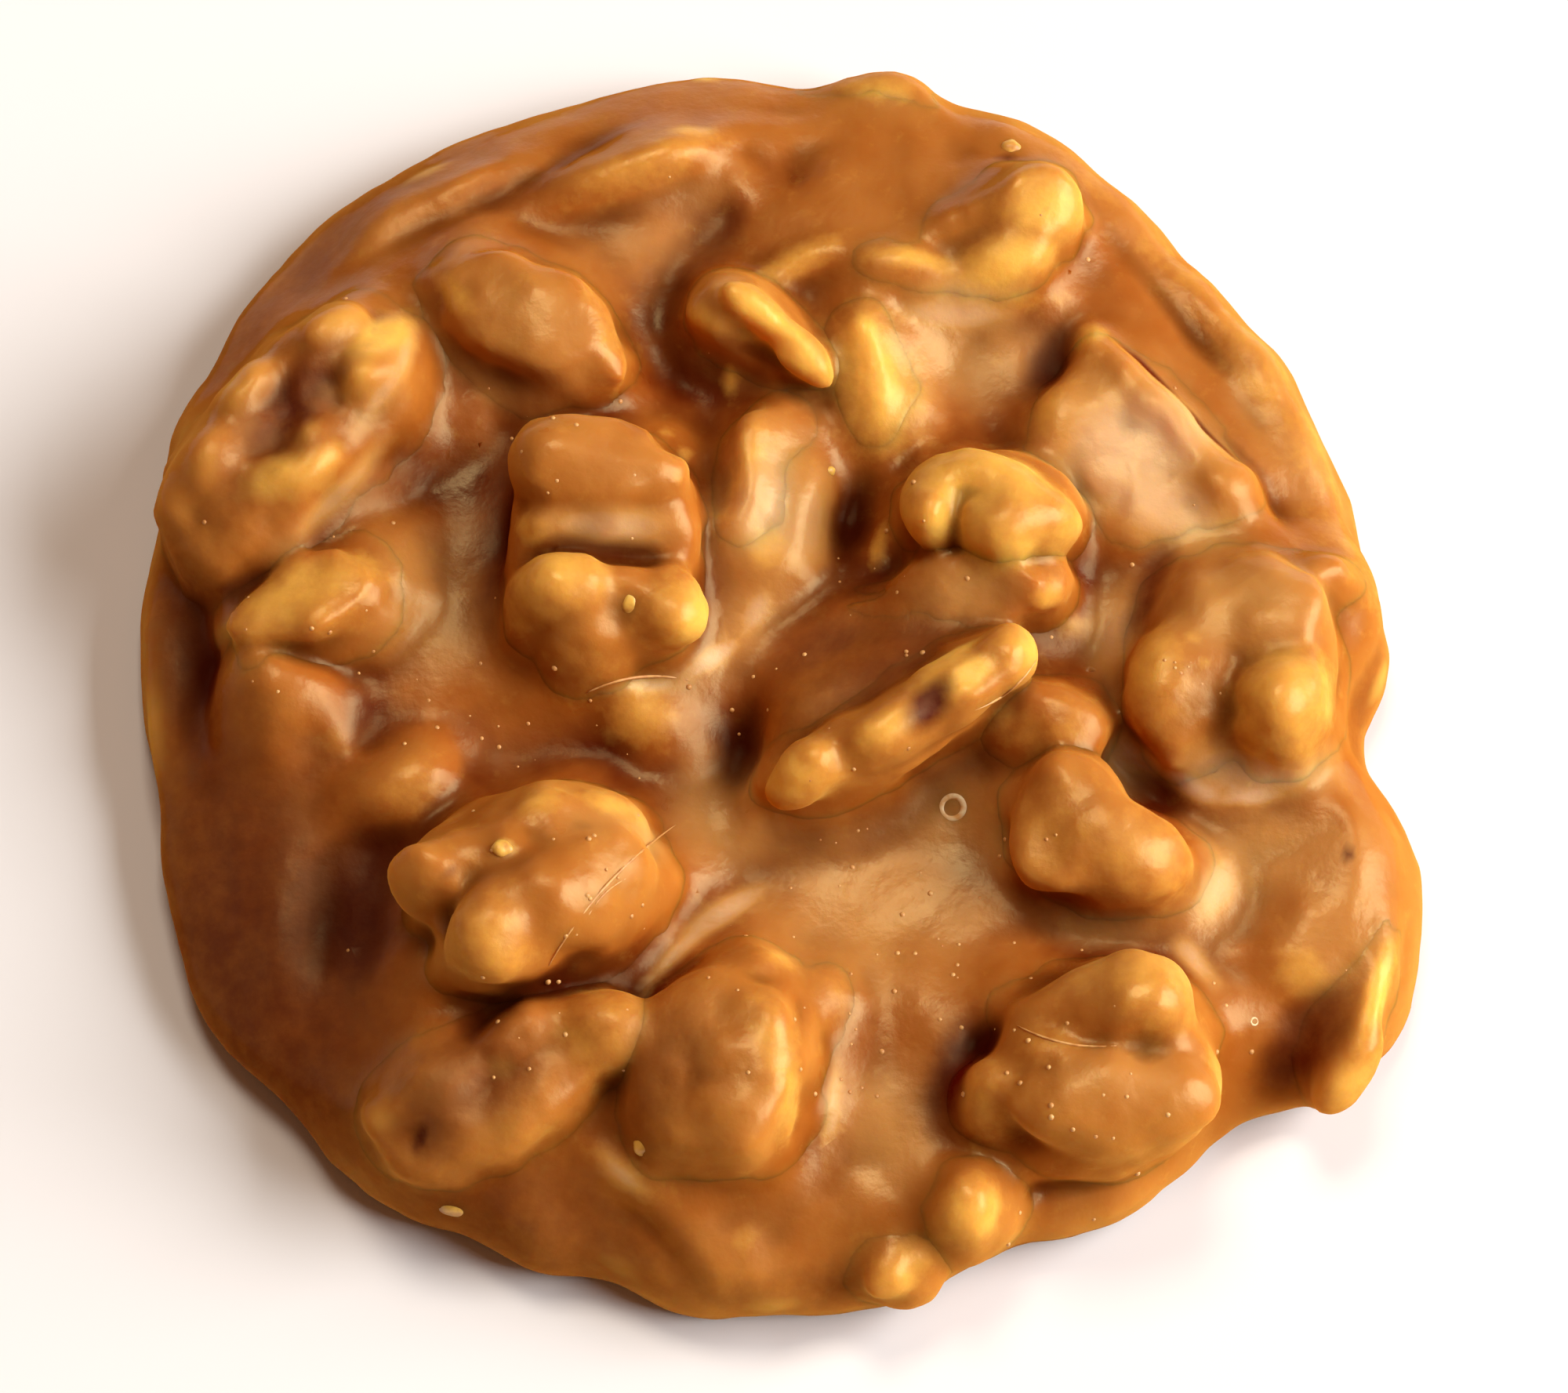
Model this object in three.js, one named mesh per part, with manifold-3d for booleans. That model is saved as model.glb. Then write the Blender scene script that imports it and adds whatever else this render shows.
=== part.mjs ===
// Pecan praline: a dropped round of caramel candy with pieces of pecan kernel sunk in its top.
// Millimetres, +Z up. The origin is at the middle of the flat underside.
import * as THREE from "three";
import { mergeVertices } from "three/addons/utils/BufferGeometryUtils.js";
import Module from "manifold-3d";

const wasm = await Module();
wasm.setup();

// Driving dimensions of the candy
const RIM_RADIUS = 40.4; // mean radius of the round
const CANDY_HEIGHT = 8.2; // bare candy at the middle
const FLANK_WIDTH = 11.5; // how far the rounded edge reaches in from the rim
const BELLY_HEIGHT = 2.4; // height of the edge's widest line
const FOOT_INSET = 1.3; // the underside ends this far inside the widest line
const WAVE_HEIGHT = 0.35; // slow unevenness of the top
const WAVE_LENGTH = 31;
const COLLAR_RISE = 0.24; // candy climbs each piece of pecan by this share of the piece's height
const COLLAR_SPREAD = 1.3; // and reaches this many times its half-width

// Driving dimensions of the pecan pieces
const SOCKET_GAP = 0.3; // clearance between a piece and the candy round it
const BLUNT_ENDS = 0.85; // below 1 the ends are fuller than an ellipsoid's
const GROOVE_SPREAD = 0.3; // half-width of the middle groove, as a share of the piece's width
const WRINKLES = 5; // furrows round a piece
const WRINKLE_DEPTH = 0.035; // as a share of its size
const CROWN_ROUNDING = 0.25; // how much of the height above a flattened crown is left

// Fineness of the faceted skins
const TOP_RINGS = 15;
const FLANK_RINGS = 5;
const FOOT_RINGS = 2;
const RING_SIDES = 6; // the first ring's corners; ring n has n times as many

// Where the rim swells out or is notched: direction in degrees, millimetres outward, spread in degrees
const RIM_SWELLS = [
  [13, -0.6, 7],
  [28, -2.2, 28],
  [70, 1.4, 10],
  [100, 0.5, 6],
  [122, 2.4, 36],
  [135, 0.6, 8],
  [156, 0.7, 8],
  [185, -0.8, 18],
  [209, 0.9, 8],
  [232, 1.5, 8],
  [247, 0.6, 5],
  [255, -0.9, 4],
  [267, 0.8, 9],
  [281, 0.4, 5],
  [290, -1.2, 6],
  [315, -1.8, 6],
  [329, 4.6, 12],
  [345, 1.4, 6],
  [354, -3.1, 9],
];

// Lumps in the candy where a kernel lies wholly covered: place, length, width, rise and heading in degrees
const CANDY_SWELLS = [
  { x: -8.2, y: 33.5, length: 15, width: 5.5, rise: 1.9, turn: 22 },
  { x: -20.0, y: 16.8, length: 5, width: 5, rise: 1.5, turn: 0 },
  { x: -32.0, y: -2.4, length: 10, width: 8, rise: 2.6, turn: 20 },
  { x: -24.2, y: -8.4, length: 9, width: 5, rise: 1.7, turn: 25 },
  { x: -7.6, y: -4.2, length: 6, width: 4.5, rise: 1.5, turn: 0 },
  { x: -10.3, y: -34.0, length: 8, width: 4, rise: 1.6, turn: -38 },
  { x: -1.5, y: -38.0, length: 9, width: 5, rise: 1.5, turn: 5 },
  { x: 37.0, y: -13.5, length: 15, width: 9, rise: 3.2, turn: 75 },
  { x: 32.5, y: -19.5, length: 6, width: 5, rise: 1.4, turn: 60 },
  { x: 30.5, y: 20.0, length: 14, width: 5, rise: 1.6, turn: -55 },
  { x: 15.0, y: 35.5, length: 5, width: 4, rise: 1.4, turn: 0 },
  { x: 5.0, y: 29.0, length: 15, width: 9, rise: 1.0, turn: 70 },
  { x: -20.5, y: 33.0, length: 18, width: 6, rise: 0.9, turn: 32 },
];

// Pieces of pecan. x, y and z place the middle, turn is the heading of the length, lift raises its far end
// and roll leans it over, in degrees. groove is the depth of the middle furrow as a share of the height,
// cleft how far it splits the far end, taper how much the far end narrows and bend how far the middle bows.
// Above crown, a share of the half-height, the top is pressed flat. facets sets how fine the skin is.
// Each knob is a bump: degrees round from the far end, degrees up, its height and its spread in degrees.
const PLAIN_PIECE = {
  lift: 0, roll: 0, groove: 0, cleft: 0, taper: 0, bend: 0, crown: 1, facets: 2, knobs: [],
};
const PECANS = [
  {
    name: "pecan_01",
    x: -30.2, y: 14.1, z: 8.6, length: 22, width: 12, height: 10.5, turn: 51,
    lift: 4, roll: -8, groove: 0.3, cleft: 0.1, taper: 0.08, facets: 3,
    knobs: [[20, 50, 1.0, 24], [160, 45, 1.0, 26]],
  },
  {
    name: "pecan_02",
    x: -16.0, y: 22.0, z: 8.4, length: 13.5, width: 8.6, height: 8, turn: -35,
    lift: -4, roll: 6, taper: -0.12, bend: 0.06,
    knobs: [[0, 40, 0.7, 30]],
  },
  {
    name: "pecan_03",
    x: -10.8, y: 6.7, z: 9.8, length: 12.6, width: 16.4, height: 11.5, turn: 2,
    lift: 2, roll: 4, groove: 0.36, cleft: 0.2, taper: 0.04, facets: 3,
    knobs: [[-130, 48, 1.3, 22], [-50, 48, 1.2, 22], [120, 50, 0.8, 26]],
  },
  {
    name: "pecan_04",
    x: -0.8, y: 11.4, z: 8.4, length: 11.8, width: 5.6, height: 7.5, turn: 82,
    lift: -4, roll: -6, taper: 0.1, bend: -0.1,
    knobs: [[150, 50, 0.6, 28]],
  },
  {
    name: "pecan_05",
    x: -1.0, y: 21.6, z: 9.6, length: 9.5, width: 4.6, height: 6.5, turn: -36,
    lift: 3, roll: 24, groove: 0.1, taper: 0.3, bend: 0.05,
    knobs: [[170, 60, 0.8, 25]],
  },
  {
    name: "pecan_06",
    x: 5.7, y: 19.2, z: 8.6, length: 9, width: 4.6, height: 6.5, turn: -76,
    lift: -2, taper: -0.08, bend: -0.08,
    knobs: [[180, 60, 0.5, 25]],
  },
  {
    name: "pecan_07",
    x: 12.8, y: 28.4, z: 7.8, length: 13.6, width: 6.6, height: 7, turn: 25,
    lift: 4, roll: 5, groove: 0.12, cleft: 0.1, taper: -0.32, bend: 0.05,
    knobs: [[40, 40, 0.8, 25]],
  },
  {
    name: "pecan_08",
    x: 23.0, y: 14.3, z: 8.6, length: 14, width: 10.5, height: 8.5, turn: -47,
    roll: -8, groove: 0.06, cleft: 0.05, taper: 0.02, crown: 0.5, facets: 3,
    knobs: [[180, 30, 0.8, 26], [100, 20, 0.5, 30]],
  },
  {
    name: "pecan_09",
    x: 13.0, y: 9.2, z: 10.4, length: 11.2, width: 6.4, height: 9.5, turn: -6,
    taper: -0.06, facets: 3,
    knobs: [[-162, 42, 1.1, 20], [-50, 55, 1.2, 26]],
  },
  {
    name: "pecan_10",
    x: 13.6, y: 3.6, z: 9.4, length: 8.6, width: 3.8, height: 8, turn: 6,
    lift: 4, groove: 0.05, taper: -0.1, bend: 0.06,
    knobs: [[5, 40, 0.8, 24]],
  },
  {
    name: "pecan_11",
    x: 7.4, y: -4.9, z: 11.2, length: 18.5, width: 5, height: 10.5, turn: 29,
    lift: 8, roll: 26, groove: 0.08, taper: 0.08, bend: 0.03, facets: 3,
    knobs: [[5, 55, 0.9, 20], [175, 45, 0.7, 20]],
  },
  {
    name: "pecan_12",
    x: 28.4, y: -0.6, z: 8.4, length: 15.4, width: 12.6, height: 10, turn: -92,
    lift: 3, groove: 0.34, cleft: 0.35, taper: -0.1, facets: 3,
    knobs: [[-36, 30, 1.7, 22], [34, 32, 1.6, 20]],
  },
  {
    name: "pecan_13",
    x: 19.7, y: -12.4, z: 8.8, length: 12.6, width: 7.2, height: 9, turn: -31,
    lift: -2, roll: -4, taper: 0.02, bend: 0.16, facets: 3,
  },
  {
    name: "pecan_14",
    x: 17.0, y: -4.3, z: 8.6, length: 6.6, width: 4.6, height: 6.6, turn: 12,
    groove: 0.08,
  },
  {
    name: "pecan_15",
    x: -15.1, y: -16.2, z: 10.9, length: 17.6, width: 12.2, height: 10, turn: 204,
    lift: 15, roll: 5, groove: 0.16, cleft: 0.3, taper: 0.06, facets: 3,
    knobs: [[35, 30, 1.2, 20], [-40, 35, 1.0, 24], [-110, 40, 0.6, 25]],
  },
  {
    name: "pecan_16",
    x: -17.7, y: -27.7, z: 7.4, length: 16.4, width: 9.4, height: 9, turn: 26,
    lift: 6, roll: 4, groove: 0.2, cleft: 0.15, facets: 3,
    knobs: [[10, 50, 1.0, 26], [-160, 40, 0.8, 24]],
  },
  {
    name: "pecan_17",
    x: -3.4, y: -26.7, z: 8.2, length: 15.6, width: 11, height: 10, turn: 62,
    lift: 4, roll: -4, groove: 0.1, cleft: 0.15, taper: 0.06, bend: 0.04, facets: 3,
    knobs: [[-70, 45, 0.8, 26], [15, 35, 0.9, 24]],
  },
  {
    name: "pecan_18",
    x: 19.2, y: -26.6, z: 8.8, length: 15.6, width: 12.6, height: 11, turn: -8,
    roll: 3, groove: 0.34, cleft: 0.15, taper: 0.02, facets: 3,
    knobs: [[40, 45, 1.0, 26], [-160, 30, 0.8, 24]],
  },
  {
    name: "pecan_19",
    x: 11.6, y: -35.2, z: 6.2, length: 5.8, width: 5.2, height: 6.4, turn: 50,
    lift: 8,
    knobs: [[0, 60, 0.5, 30]],
  },
  {
    name: "pecan_20",
    x: 7.2, y: -38.1, z: 4.6, length: 6.0, width: 4.6, height: 5.2, turn: -60,
    taper: 0.1,
  },
  {
    name: "pecan_21",
    x: -28.6, y: 2.8, z: 8.6, length: 10.8, width: 5.2, height: 6.6, turn: 205,
    lift: 6, taper: 0.42, bend: 0.04,
  },
  {
    name: "pecan_22",
    x: 35.2, y: -22.6, z: 5.4, length: 10, width: 3.2, height: 5.6, turn: 71,
    lift: 3, roll: 12, taper: 0.2, bend: -0.06,
  },
  {
    name: "pecan_23",
    x: 6.4, y: 39.6, z: 4.2, length: 5.4, width: 2.6, height: 3.4, turn: -6,
    taper: 0.1, facets: 1,
  },
].map((piece) => ({ ...PLAIN_PIECE, ...piece }));

// Colours and finishes
const CANDY_LOOK = new THREE.MeshStandardMaterial({ color: 0xa5622a, roughness: 0.32, metalness: 0 });
const PECAN_LOOK = new THREE.MeshStandardMaterial({ color: 0xd08a35, roughness: 0.38, metalness: 0 });

const radians = THREE.MathUtils.degToRad;

// The shortest way round from one direction to another, in degrees.
function turnBetween(from, to) {
  return THREE.MathUtils.euclideanModulo(to - from + 180, 360) - 180;
}

// Radius of the rim's widest line in a direction given in radians.
function rimRadius(angle) {
  const heading = THREE.MathUtils.radToDeg(angle);
  return RIM_SWELLS.reduce(
    (radius, [at, outward, spread]) =>
      radius + outward * Math.exp(-((turnBetween(at, heading) / spread) ** 2)),
    RIM_RADIUS,
  );
}

// A soft mound on an oval footprint: 1 over its middle, falling to 0 just past its edge.
function mound(x, y, { x: middleX, y: middleY, turn, length, width }) {
  const axis = new THREE.Vector2(Math.cos(radians(turn)), Math.sin(radians(turn)));
  const offset = new THREE.Vector2(x - middleX, y - middleY);
  const distance = Math.hypot(offset.dot(axis) / (length / 2), offset.cross(axis) / (width / 2));
  return Math.exp(-(distance ** 3));
}

// The candy climbs a little way up each piece of pecan, over a footprint wider than the piece.
function collar(x, y, pecan) {
  const footprint = {
    ...pecan,
    length: pecan.length * COLLAR_SPREAD,
    width: pecan.width * COLLAR_SPREAD,
  };
  return COLLAR_RISE * pecan.height * mound(x, y, footprint);
}

// Height of the candy's top before its edge is rounded off.
function candyHeight(x, y) {
  const phase = (2 * Math.PI) / WAVE_LENGTH;
  const wave = WAVE_HEIGHT * (Math.sin(phase * x) + Math.cos(phase * y));
  const swells = CANDY_SWELLS.reduce((sum, swell) => sum + swell.rise * mound(x, y, swell), 0);
  const climb = PECANS.reduce((most, pecan) => Math.max(most, collar(x, y, pecan)), 0);
  return CANDY_HEIGHT + wave + Math.max(swells, climb);
}

// Triangles between two rings of vertices, walking round both. The second ring is outside or below the first.
function stitch(inner, outer) {
  const triangles = [];
  let i = 0;
  let o = 0;
  while (i < inner.length || o < outer.length) {
    const innerNext = (i + 1) / inner.length;
    const outerNext = (o + 1) / outer.length;
    const a = inner[i % inner.length];
    const b = outer[o % outer.length];
    if (outerNext <= innerNext) {
      triangles.push(a, b, outer[(o + 1) % outer.length]);
      o += 1;
    } else {
      triangles.push(a, b, inner[(i + 1) % inner.length]);
      i += 1;
    }
  }
  return triangles;
}

// The candy's skin: rings of vertices from the middle of the top, over the rounded edge, to the underside.
function candyGeometry() {
  const positions = [];
  const rings = [];
  const addRing = (count, pointAt) => {
    const ring = [];
    for (let n = 0; n < count; n += 1) {
      const angle = (2 * Math.PI * n) / count;
      const { radius, z } = pointAt(angle);
      ring.push(positions.length / 3);
      positions.push(radius * Math.cos(angle), radius * Math.sin(angle), z);
    }
    rings.push(ring);
  };
  const heightAt = (radius, angle) => candyHeight(radius * Math.cos(angle), radius * Math.sin(angle));

  const topMiddle = positions.length / 3;
  positions.push(0, 0, candyHeight(0, 0));
  for (let ring = 1; ring <= TOP_RINGS; ring += 1) {
    addRing(RING_SIDES * ring, (angle) => {
      const radius = ((rimRadius(angle) - FLANK_WIDTH) * ring) / TOP_RINGS;
      return { radius, z: heightAt(radius, angle) };
    });
  }
  const sides = RING_SIDES * TOP_RINGS;
  for (let ring = 1; ring <= FLANK_RINGS; ring += 1) {
    const bend = ((Math.PI / 2) * ring) / FLANK_RINGS;
    addRing(sides, (angle) => {
      const radius = rimRadius(angle) - FLANK_WIDTH * (1 - Math.sin(bend));
      return { radius, z: BELLY_HEIGHT + (heightAt(radius, angle) - BELLY_HEIGHT) * Math.cos(bend) };
    });
  }
  for (let ring = 1; ring <= FOOT_RINGS; ring += 1) {
    const bend = ((Math.PI / 2) * ring) / FOOT_RINGS;
    addRing(sides, (angle) => ({
      radius: rimRadius(angle) - FOOT_INSET * (1 - Math.cos(bend)),
      z: BELLY_HEIGHT * (1 - Math.sin(bend)),
    }));
  }
  const underMiddle = positions.length / 3;
  positions.push(0, 0, 0);

  const triangles = [];
  const first = rings[0];
  first.forEach((vertex, n) => triangles.push(topMiddle, vertex, first[(n + 1) % first.length]));
  for (let ring = 1; ring < rings.length; ring += 1) {
    triangles.push(...stitch(rings[ring - 1], rings[ring]));
  }
  const foot = rings[rings.length - 1];
  foot.forEach((vertex, n) => triangles.push(underMiddle, foot[(n + 1) % foot.length], vertex));

  return new THREE.BufferGeometry()
    .setAttribute("position", new THREE.Float32BufferAttribute(positions, 3))
    .setIndex(triangles);
}

// A unit vector from a bearing round the piece and an elevation, in degrees.
function bearing(round, up) {
  const flat = Math.cos(radians(up));
  return new THREE.Vector3(
    flat * Math.cos(radians(round)),
    flat * Math.sin(radians(round)),
    Math.sin(radians(up)),
  );
}

// The skin's point for a unit direction: x runs along the kernel towards its far end, y across it and z up.
function kernelPoint(direction, pecan) {
  const { x: along, y: across, z: up } = direction;
  const narrowing = 1 - pecan.taper * along;
  const nearMiddle = Math.exp(-((across / GROOVE_SPREAD) ** 2));
  const furrow = pecan.groove * nearMiddle * Math.max(up, 0);
  const pressed = (1 - CROWN_ROUNDING) * Math.max(up - pecan.crown, 0);
  const split = pecan.cleft * nearMiddle * Math.max(along, 0) ** 2;
  const furrows = Math.cos(WRINKLES * Math.atan2(up, across) + pecan.turn) * (1 - along ** 2);
  const wrinkle = 1 + WRINKLE_DEPTH * furrows;
  const point = new THREE.Vector3(
    (pecan.length / 2) * (Math.sign(along) * Math.abs(along) ** BLUNT_ENDS) * (1 - split),
    (pecan.width / 2) * across * narrowing * wrinkle + pecan.bend * pecan.length * (along ** 2 - 1 / 3),
    (pecan.height / 2) * (up * wrinkle - furrow - pressed) * Math.sqrt(narrowing),
  );
  for (const [round, rise, height, spread] of pecan.knobs) {
    const apart = direction.angleTo(bearing(round, rise)) / radians(spread);
    point.addScaledVector(direction, height * Math.exp(-(apart ** 2)));
  }
  return point;
}

// A piece's closed skin in its own frame, moved outward by grow.
function pecanGeometry(pecan, grow = 0) {
  const sphere = new THREE.IcosahedronGeometry(1, pecan.facets);
  sphere.deleteAttribute("normal");
  sphere.deleteAttribute("uv");
  const skin = mergeVertices(sphere);
  const position = skin.getAttribute("position");
  const direction = new THREE.Vector3();
  for (let n = 0; n < position.count; n += 1) {
    const point = kernelPoint(direction.fromBufferAttribute(position, n).normalize(), pecan);
    position.setXYZ(n, ...point);
  }
  skin.computeVertexNormals();
  const normal = skin.getAttribute("normal");
  for (let n = 0; n < position.count; n += 1) {
    position.setXYZ(
      n,
      position.getX(n) + grow * normal.getX(n),
      position.getY(n) + grow * normal.getY(n),
      position.getZ(n) + grow * normal.getZ(n),
    );
  }
  skin.deleteAttribute("normal");
  return skin;
}

// A closed, merged geometry as a solid that can be cut.
function solidFrom(geometry) {
  return new wasm.Manifold(
    new wasm.Mesh({
      numProp: 3,
      vertProperties: new Float32Array(geometry.getAttribute("position").array),
      triVerts: new Uint32Array(geometry.index.array),
    }),
  );
}

// A solid back as a geometry.
function geometryFrom(solid) {
  const mesh = solid.getMesh();
  return new THREE.BufferGeometry()
    .setAttribute("position", new THREE.BufferAttribute(mesh.vertProperties, mesh.numProp))
    .setIndex(new THREE.BufferAttribute(mesh.triVerts, 1));
}

// Places a piece: leaned over, lifted and turned about its own middle.
function placePecan(mesh, pecan) {
  mesh.position.set(pecan.x, pecan.y, pecan.z);
  mesh.rotation.set(radians(pecan.roll), -radians(pecan.lift), radians(pecan.turn), "ZYX");
  mesh.updateMatrix();
  return mesh;
}

function makePecan(pecan) {
  const mesh = new THREE.Mesh(pecanGeometry(pecan), PECAN_LOOK);
  mesh.name = pecan.name;
  return placePecan(mesh, pecan);
}

// The candy with a socket for every piece.
function makeCandy(pecans) {
  const candy = pecans.reduce((solid, pecan) => {
    const socket = pecanGeometry(pecan, SOCKET_GAP);
    socket.applyMatrix4(placePecan(new THREE.Object3D(), pecan).matrix);
    return solid.subtract(solidFrom(socket));
  }, solidFrom(candyGeometry()));
  const mesh = new THREE.Mesh(geometryFrom(candy), CANDY_LOOK);
  mesh.name = "candy";
  return mesh;
}

// The origin goes under the middle of the whole.
const pieces = new THREE.Group();
pieces.add(makeCandy(PECANS), ...PECANS.map(makePecan));
const middle = new THREE.Box3().setFromObject(pieces, true).getCenter(new THREE.Vector3());
pieces.position.set(-middle.x, -middle.y, 0);

const praline = new THREE.Group();
praline.add(pieces);

export default praline;
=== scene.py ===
"""Pecan praline: glazed candy and pecan pieces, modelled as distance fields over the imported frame."""
import math
from typing import NamedTuple

import bmesh
import bpy
import numpy as np
import openvdb as vdb
from mathutils import Matrix, Vector, noise


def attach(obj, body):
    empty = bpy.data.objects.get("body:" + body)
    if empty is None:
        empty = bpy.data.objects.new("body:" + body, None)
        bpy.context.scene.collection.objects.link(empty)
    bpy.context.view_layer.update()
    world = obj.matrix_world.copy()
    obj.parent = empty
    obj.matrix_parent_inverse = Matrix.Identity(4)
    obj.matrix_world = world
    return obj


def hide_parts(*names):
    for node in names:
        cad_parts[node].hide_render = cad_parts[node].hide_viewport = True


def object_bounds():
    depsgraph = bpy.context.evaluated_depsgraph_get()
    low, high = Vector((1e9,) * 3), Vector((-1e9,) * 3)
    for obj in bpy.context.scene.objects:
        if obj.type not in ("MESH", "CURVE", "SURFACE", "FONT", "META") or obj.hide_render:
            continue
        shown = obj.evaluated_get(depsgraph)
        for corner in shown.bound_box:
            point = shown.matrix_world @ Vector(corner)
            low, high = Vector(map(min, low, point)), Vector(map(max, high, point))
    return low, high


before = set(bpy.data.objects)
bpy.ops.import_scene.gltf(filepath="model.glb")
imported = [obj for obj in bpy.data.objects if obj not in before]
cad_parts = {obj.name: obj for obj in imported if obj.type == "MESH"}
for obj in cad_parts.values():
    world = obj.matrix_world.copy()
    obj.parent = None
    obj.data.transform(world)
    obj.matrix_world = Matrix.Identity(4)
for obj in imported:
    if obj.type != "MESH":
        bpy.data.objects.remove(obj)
cad_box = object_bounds()

MM = 0.001

# Camera, and the photograph's size in pixels
CAMERA_ELEVATION = math.radians(70)
CAMERA_DISTANCE = 700 * MM
CAMERA_TARGET = np.array((0.15, -0.67, 3.0)) * MM
CAMERA_BACK = np.array((0, -math.cos(CAMERA_ELEVATION), math.sin(CAMERA_ELEVATION)))
CAMERA_RIGHT = np.array((1, 0, 0))
CAMERA_UP = np.array((0, math.sin(CAMERA_ELEVATION), math.cos(CAMERA_ELEVATION)))
CAMERA_PLACE = CAMERA_TARGET + CAMERA_BACK * CAMERA_DISTANCE
FRAME_WIDTH = 98.5 * MM
SENSOR_WIDTH = 36.0
PHOTO_WIDTH = 2000
PHOTO_HEIGHT = 1777

# Distance fields
VOXEL = 0.30 * MM
MARGIN = 3.0 * MM
BAND = 5.0 * MM
BLUR_REACH = 2.5
SLOPE_STEP = 2 * VOXEL
LAST_CELL = 1.001
MERGE_DISTANCE = 0.001 * MM
KERNEL_SUBDIVISIONS = 2
KERNEL_SOFTNESS = 0.25 * MM
SOCKET_FILL = 0.2 * MM
FILLET = 2.1 * MM
COAT_SMOOTHING = 0.55 * MM
COAT_THICKNESS = 0.15 * MM
COAT_VARIATION = 0.15 * MM
COAT_PATCH_SIZE = 1.6 * MM
KERNEL_BLEND = 0.5 * MM
HOLLOW_RADIUS = 2.6 * MM
CREASE_RADIUS = 0.9 * MM

# Where the coat on a piece of pecan becomes the candy round it
SEAM = 0.9 * MM
SEAM_WIDTH = 0.8 * MM
SEAM_DEPTH = 0.12 * MM
SEAM_END = 1.6 * MM

# Random relief; each pair is a depth and the size of its lumps
KERNEL_LUMPS = [(0.11 * MM, 1.0 * MM), (0.06 * MM, 0.4 * MM)]
RIPPLES = [(0.12 * MM, 5.0 * MM), (0.08 * MM, 2.4 * MM), (0.04 * MM, 1.1 * MM)]
RIPPLE_FADE = 1.0 * MM
FURROW_DEPTH = 0.6 * MM
FURROW_LENGTH = 8.0 * MM
FURROW_WIDTH = 2.4 * MM
CANDY_UNEVENNESS = 0.28 * MM
CANDY_LUMP_SIZE = 2.2 * MM

# Seeds of what is random
FURROW_SEED = 7.3
CANDY_SEED = 4
LUMP_SEED = 5
COAT_SEED = 9
RIPPLE_SEED = 11.0
SPECK_SEED = 21
CRUMB_SEED = 0.37

# Shapes and paint placed one by one
FACET_ROUNDING = 1.0 * MM
KNOB_BLEND = 0.9 * MM
KNOB_BLEND_SHARE = 0.5
KNOB_GAIN = 1.4
RELIEF_REACH = 3.0 * MM
OWNER_REACH = 0.6 * MM
PAINT_DEPTH = 1.3 * MM
PAINT_DEPTH_SHARE = 0.25
WINDOW_SHARE = 0.9
SMALLEST_SLOPE = 1e-6

# Meshes of the candy and the pieces of pecan
TRIANGLE_LIMIT = 180000
UNDERSIDE_TOLERANCE = 0.01 * MM

# Specks, crumbs, threads and bubbles
SPECK_RADIUS = (0.10 * MM, 0.22 * MM)
SPECK_SINK = 0.35
CRUMB_SINK = 0.4
CRUMB_KNOBS = 0.25
CRUMB_KNOB_SCALE = 1.1
THREAD_STEPS = 28
THREAD_SIDES = 6
BUBBLE_STEPS = 32
BUBBLE_SIDES = 12
BUBBLE_RIM = 0.3
BUBBLE_HEIGHT = 0.6

# Height below which the rim is darkened as painted shade; slope and height from which the surface
# shines
RIM_DARK_TOP = 2.5 * MM
OPEN_LOW = 0.62
OPEN_SPAN = 0.26
OPEN_TOP = 8.0 * MM

# Looking for the surface along a line of sight
SIGHT_TOP = 22 * MM
SIGHT_STEP = 0.1 * MM

FLOOR_HALF = 1.5


class Detail(NamedTuple):
    """A bump, or a dent where rise is negative, where a photograph pixel shows the surface.

    length, width and rise are millimetres and turn is the heading of the length in degrees.
    flesh is how much of the pale kernel shows there, and in a few places it is painted light on a lit
    side.
    skin is how much of its brown skin shows, and it is also painted shade beside the pieces and on
    the side away from the light. milk is a painted sheen: paler, milky caramel where light glances
    off the surface, and pale painted highlights on the arcs where the candy climbs the pieces.
    A detail shapes the kernel it is on, or else the candy, and with candy_only always the candy.
    """

    px: float
    py: float
    length: float
    width: float
    rise: float
    turn: float = 0
    flesh_and_light: float = 0
    skin: float = 0
    milk_and_sheen: float = 0
    candy_only: bool = False


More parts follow.
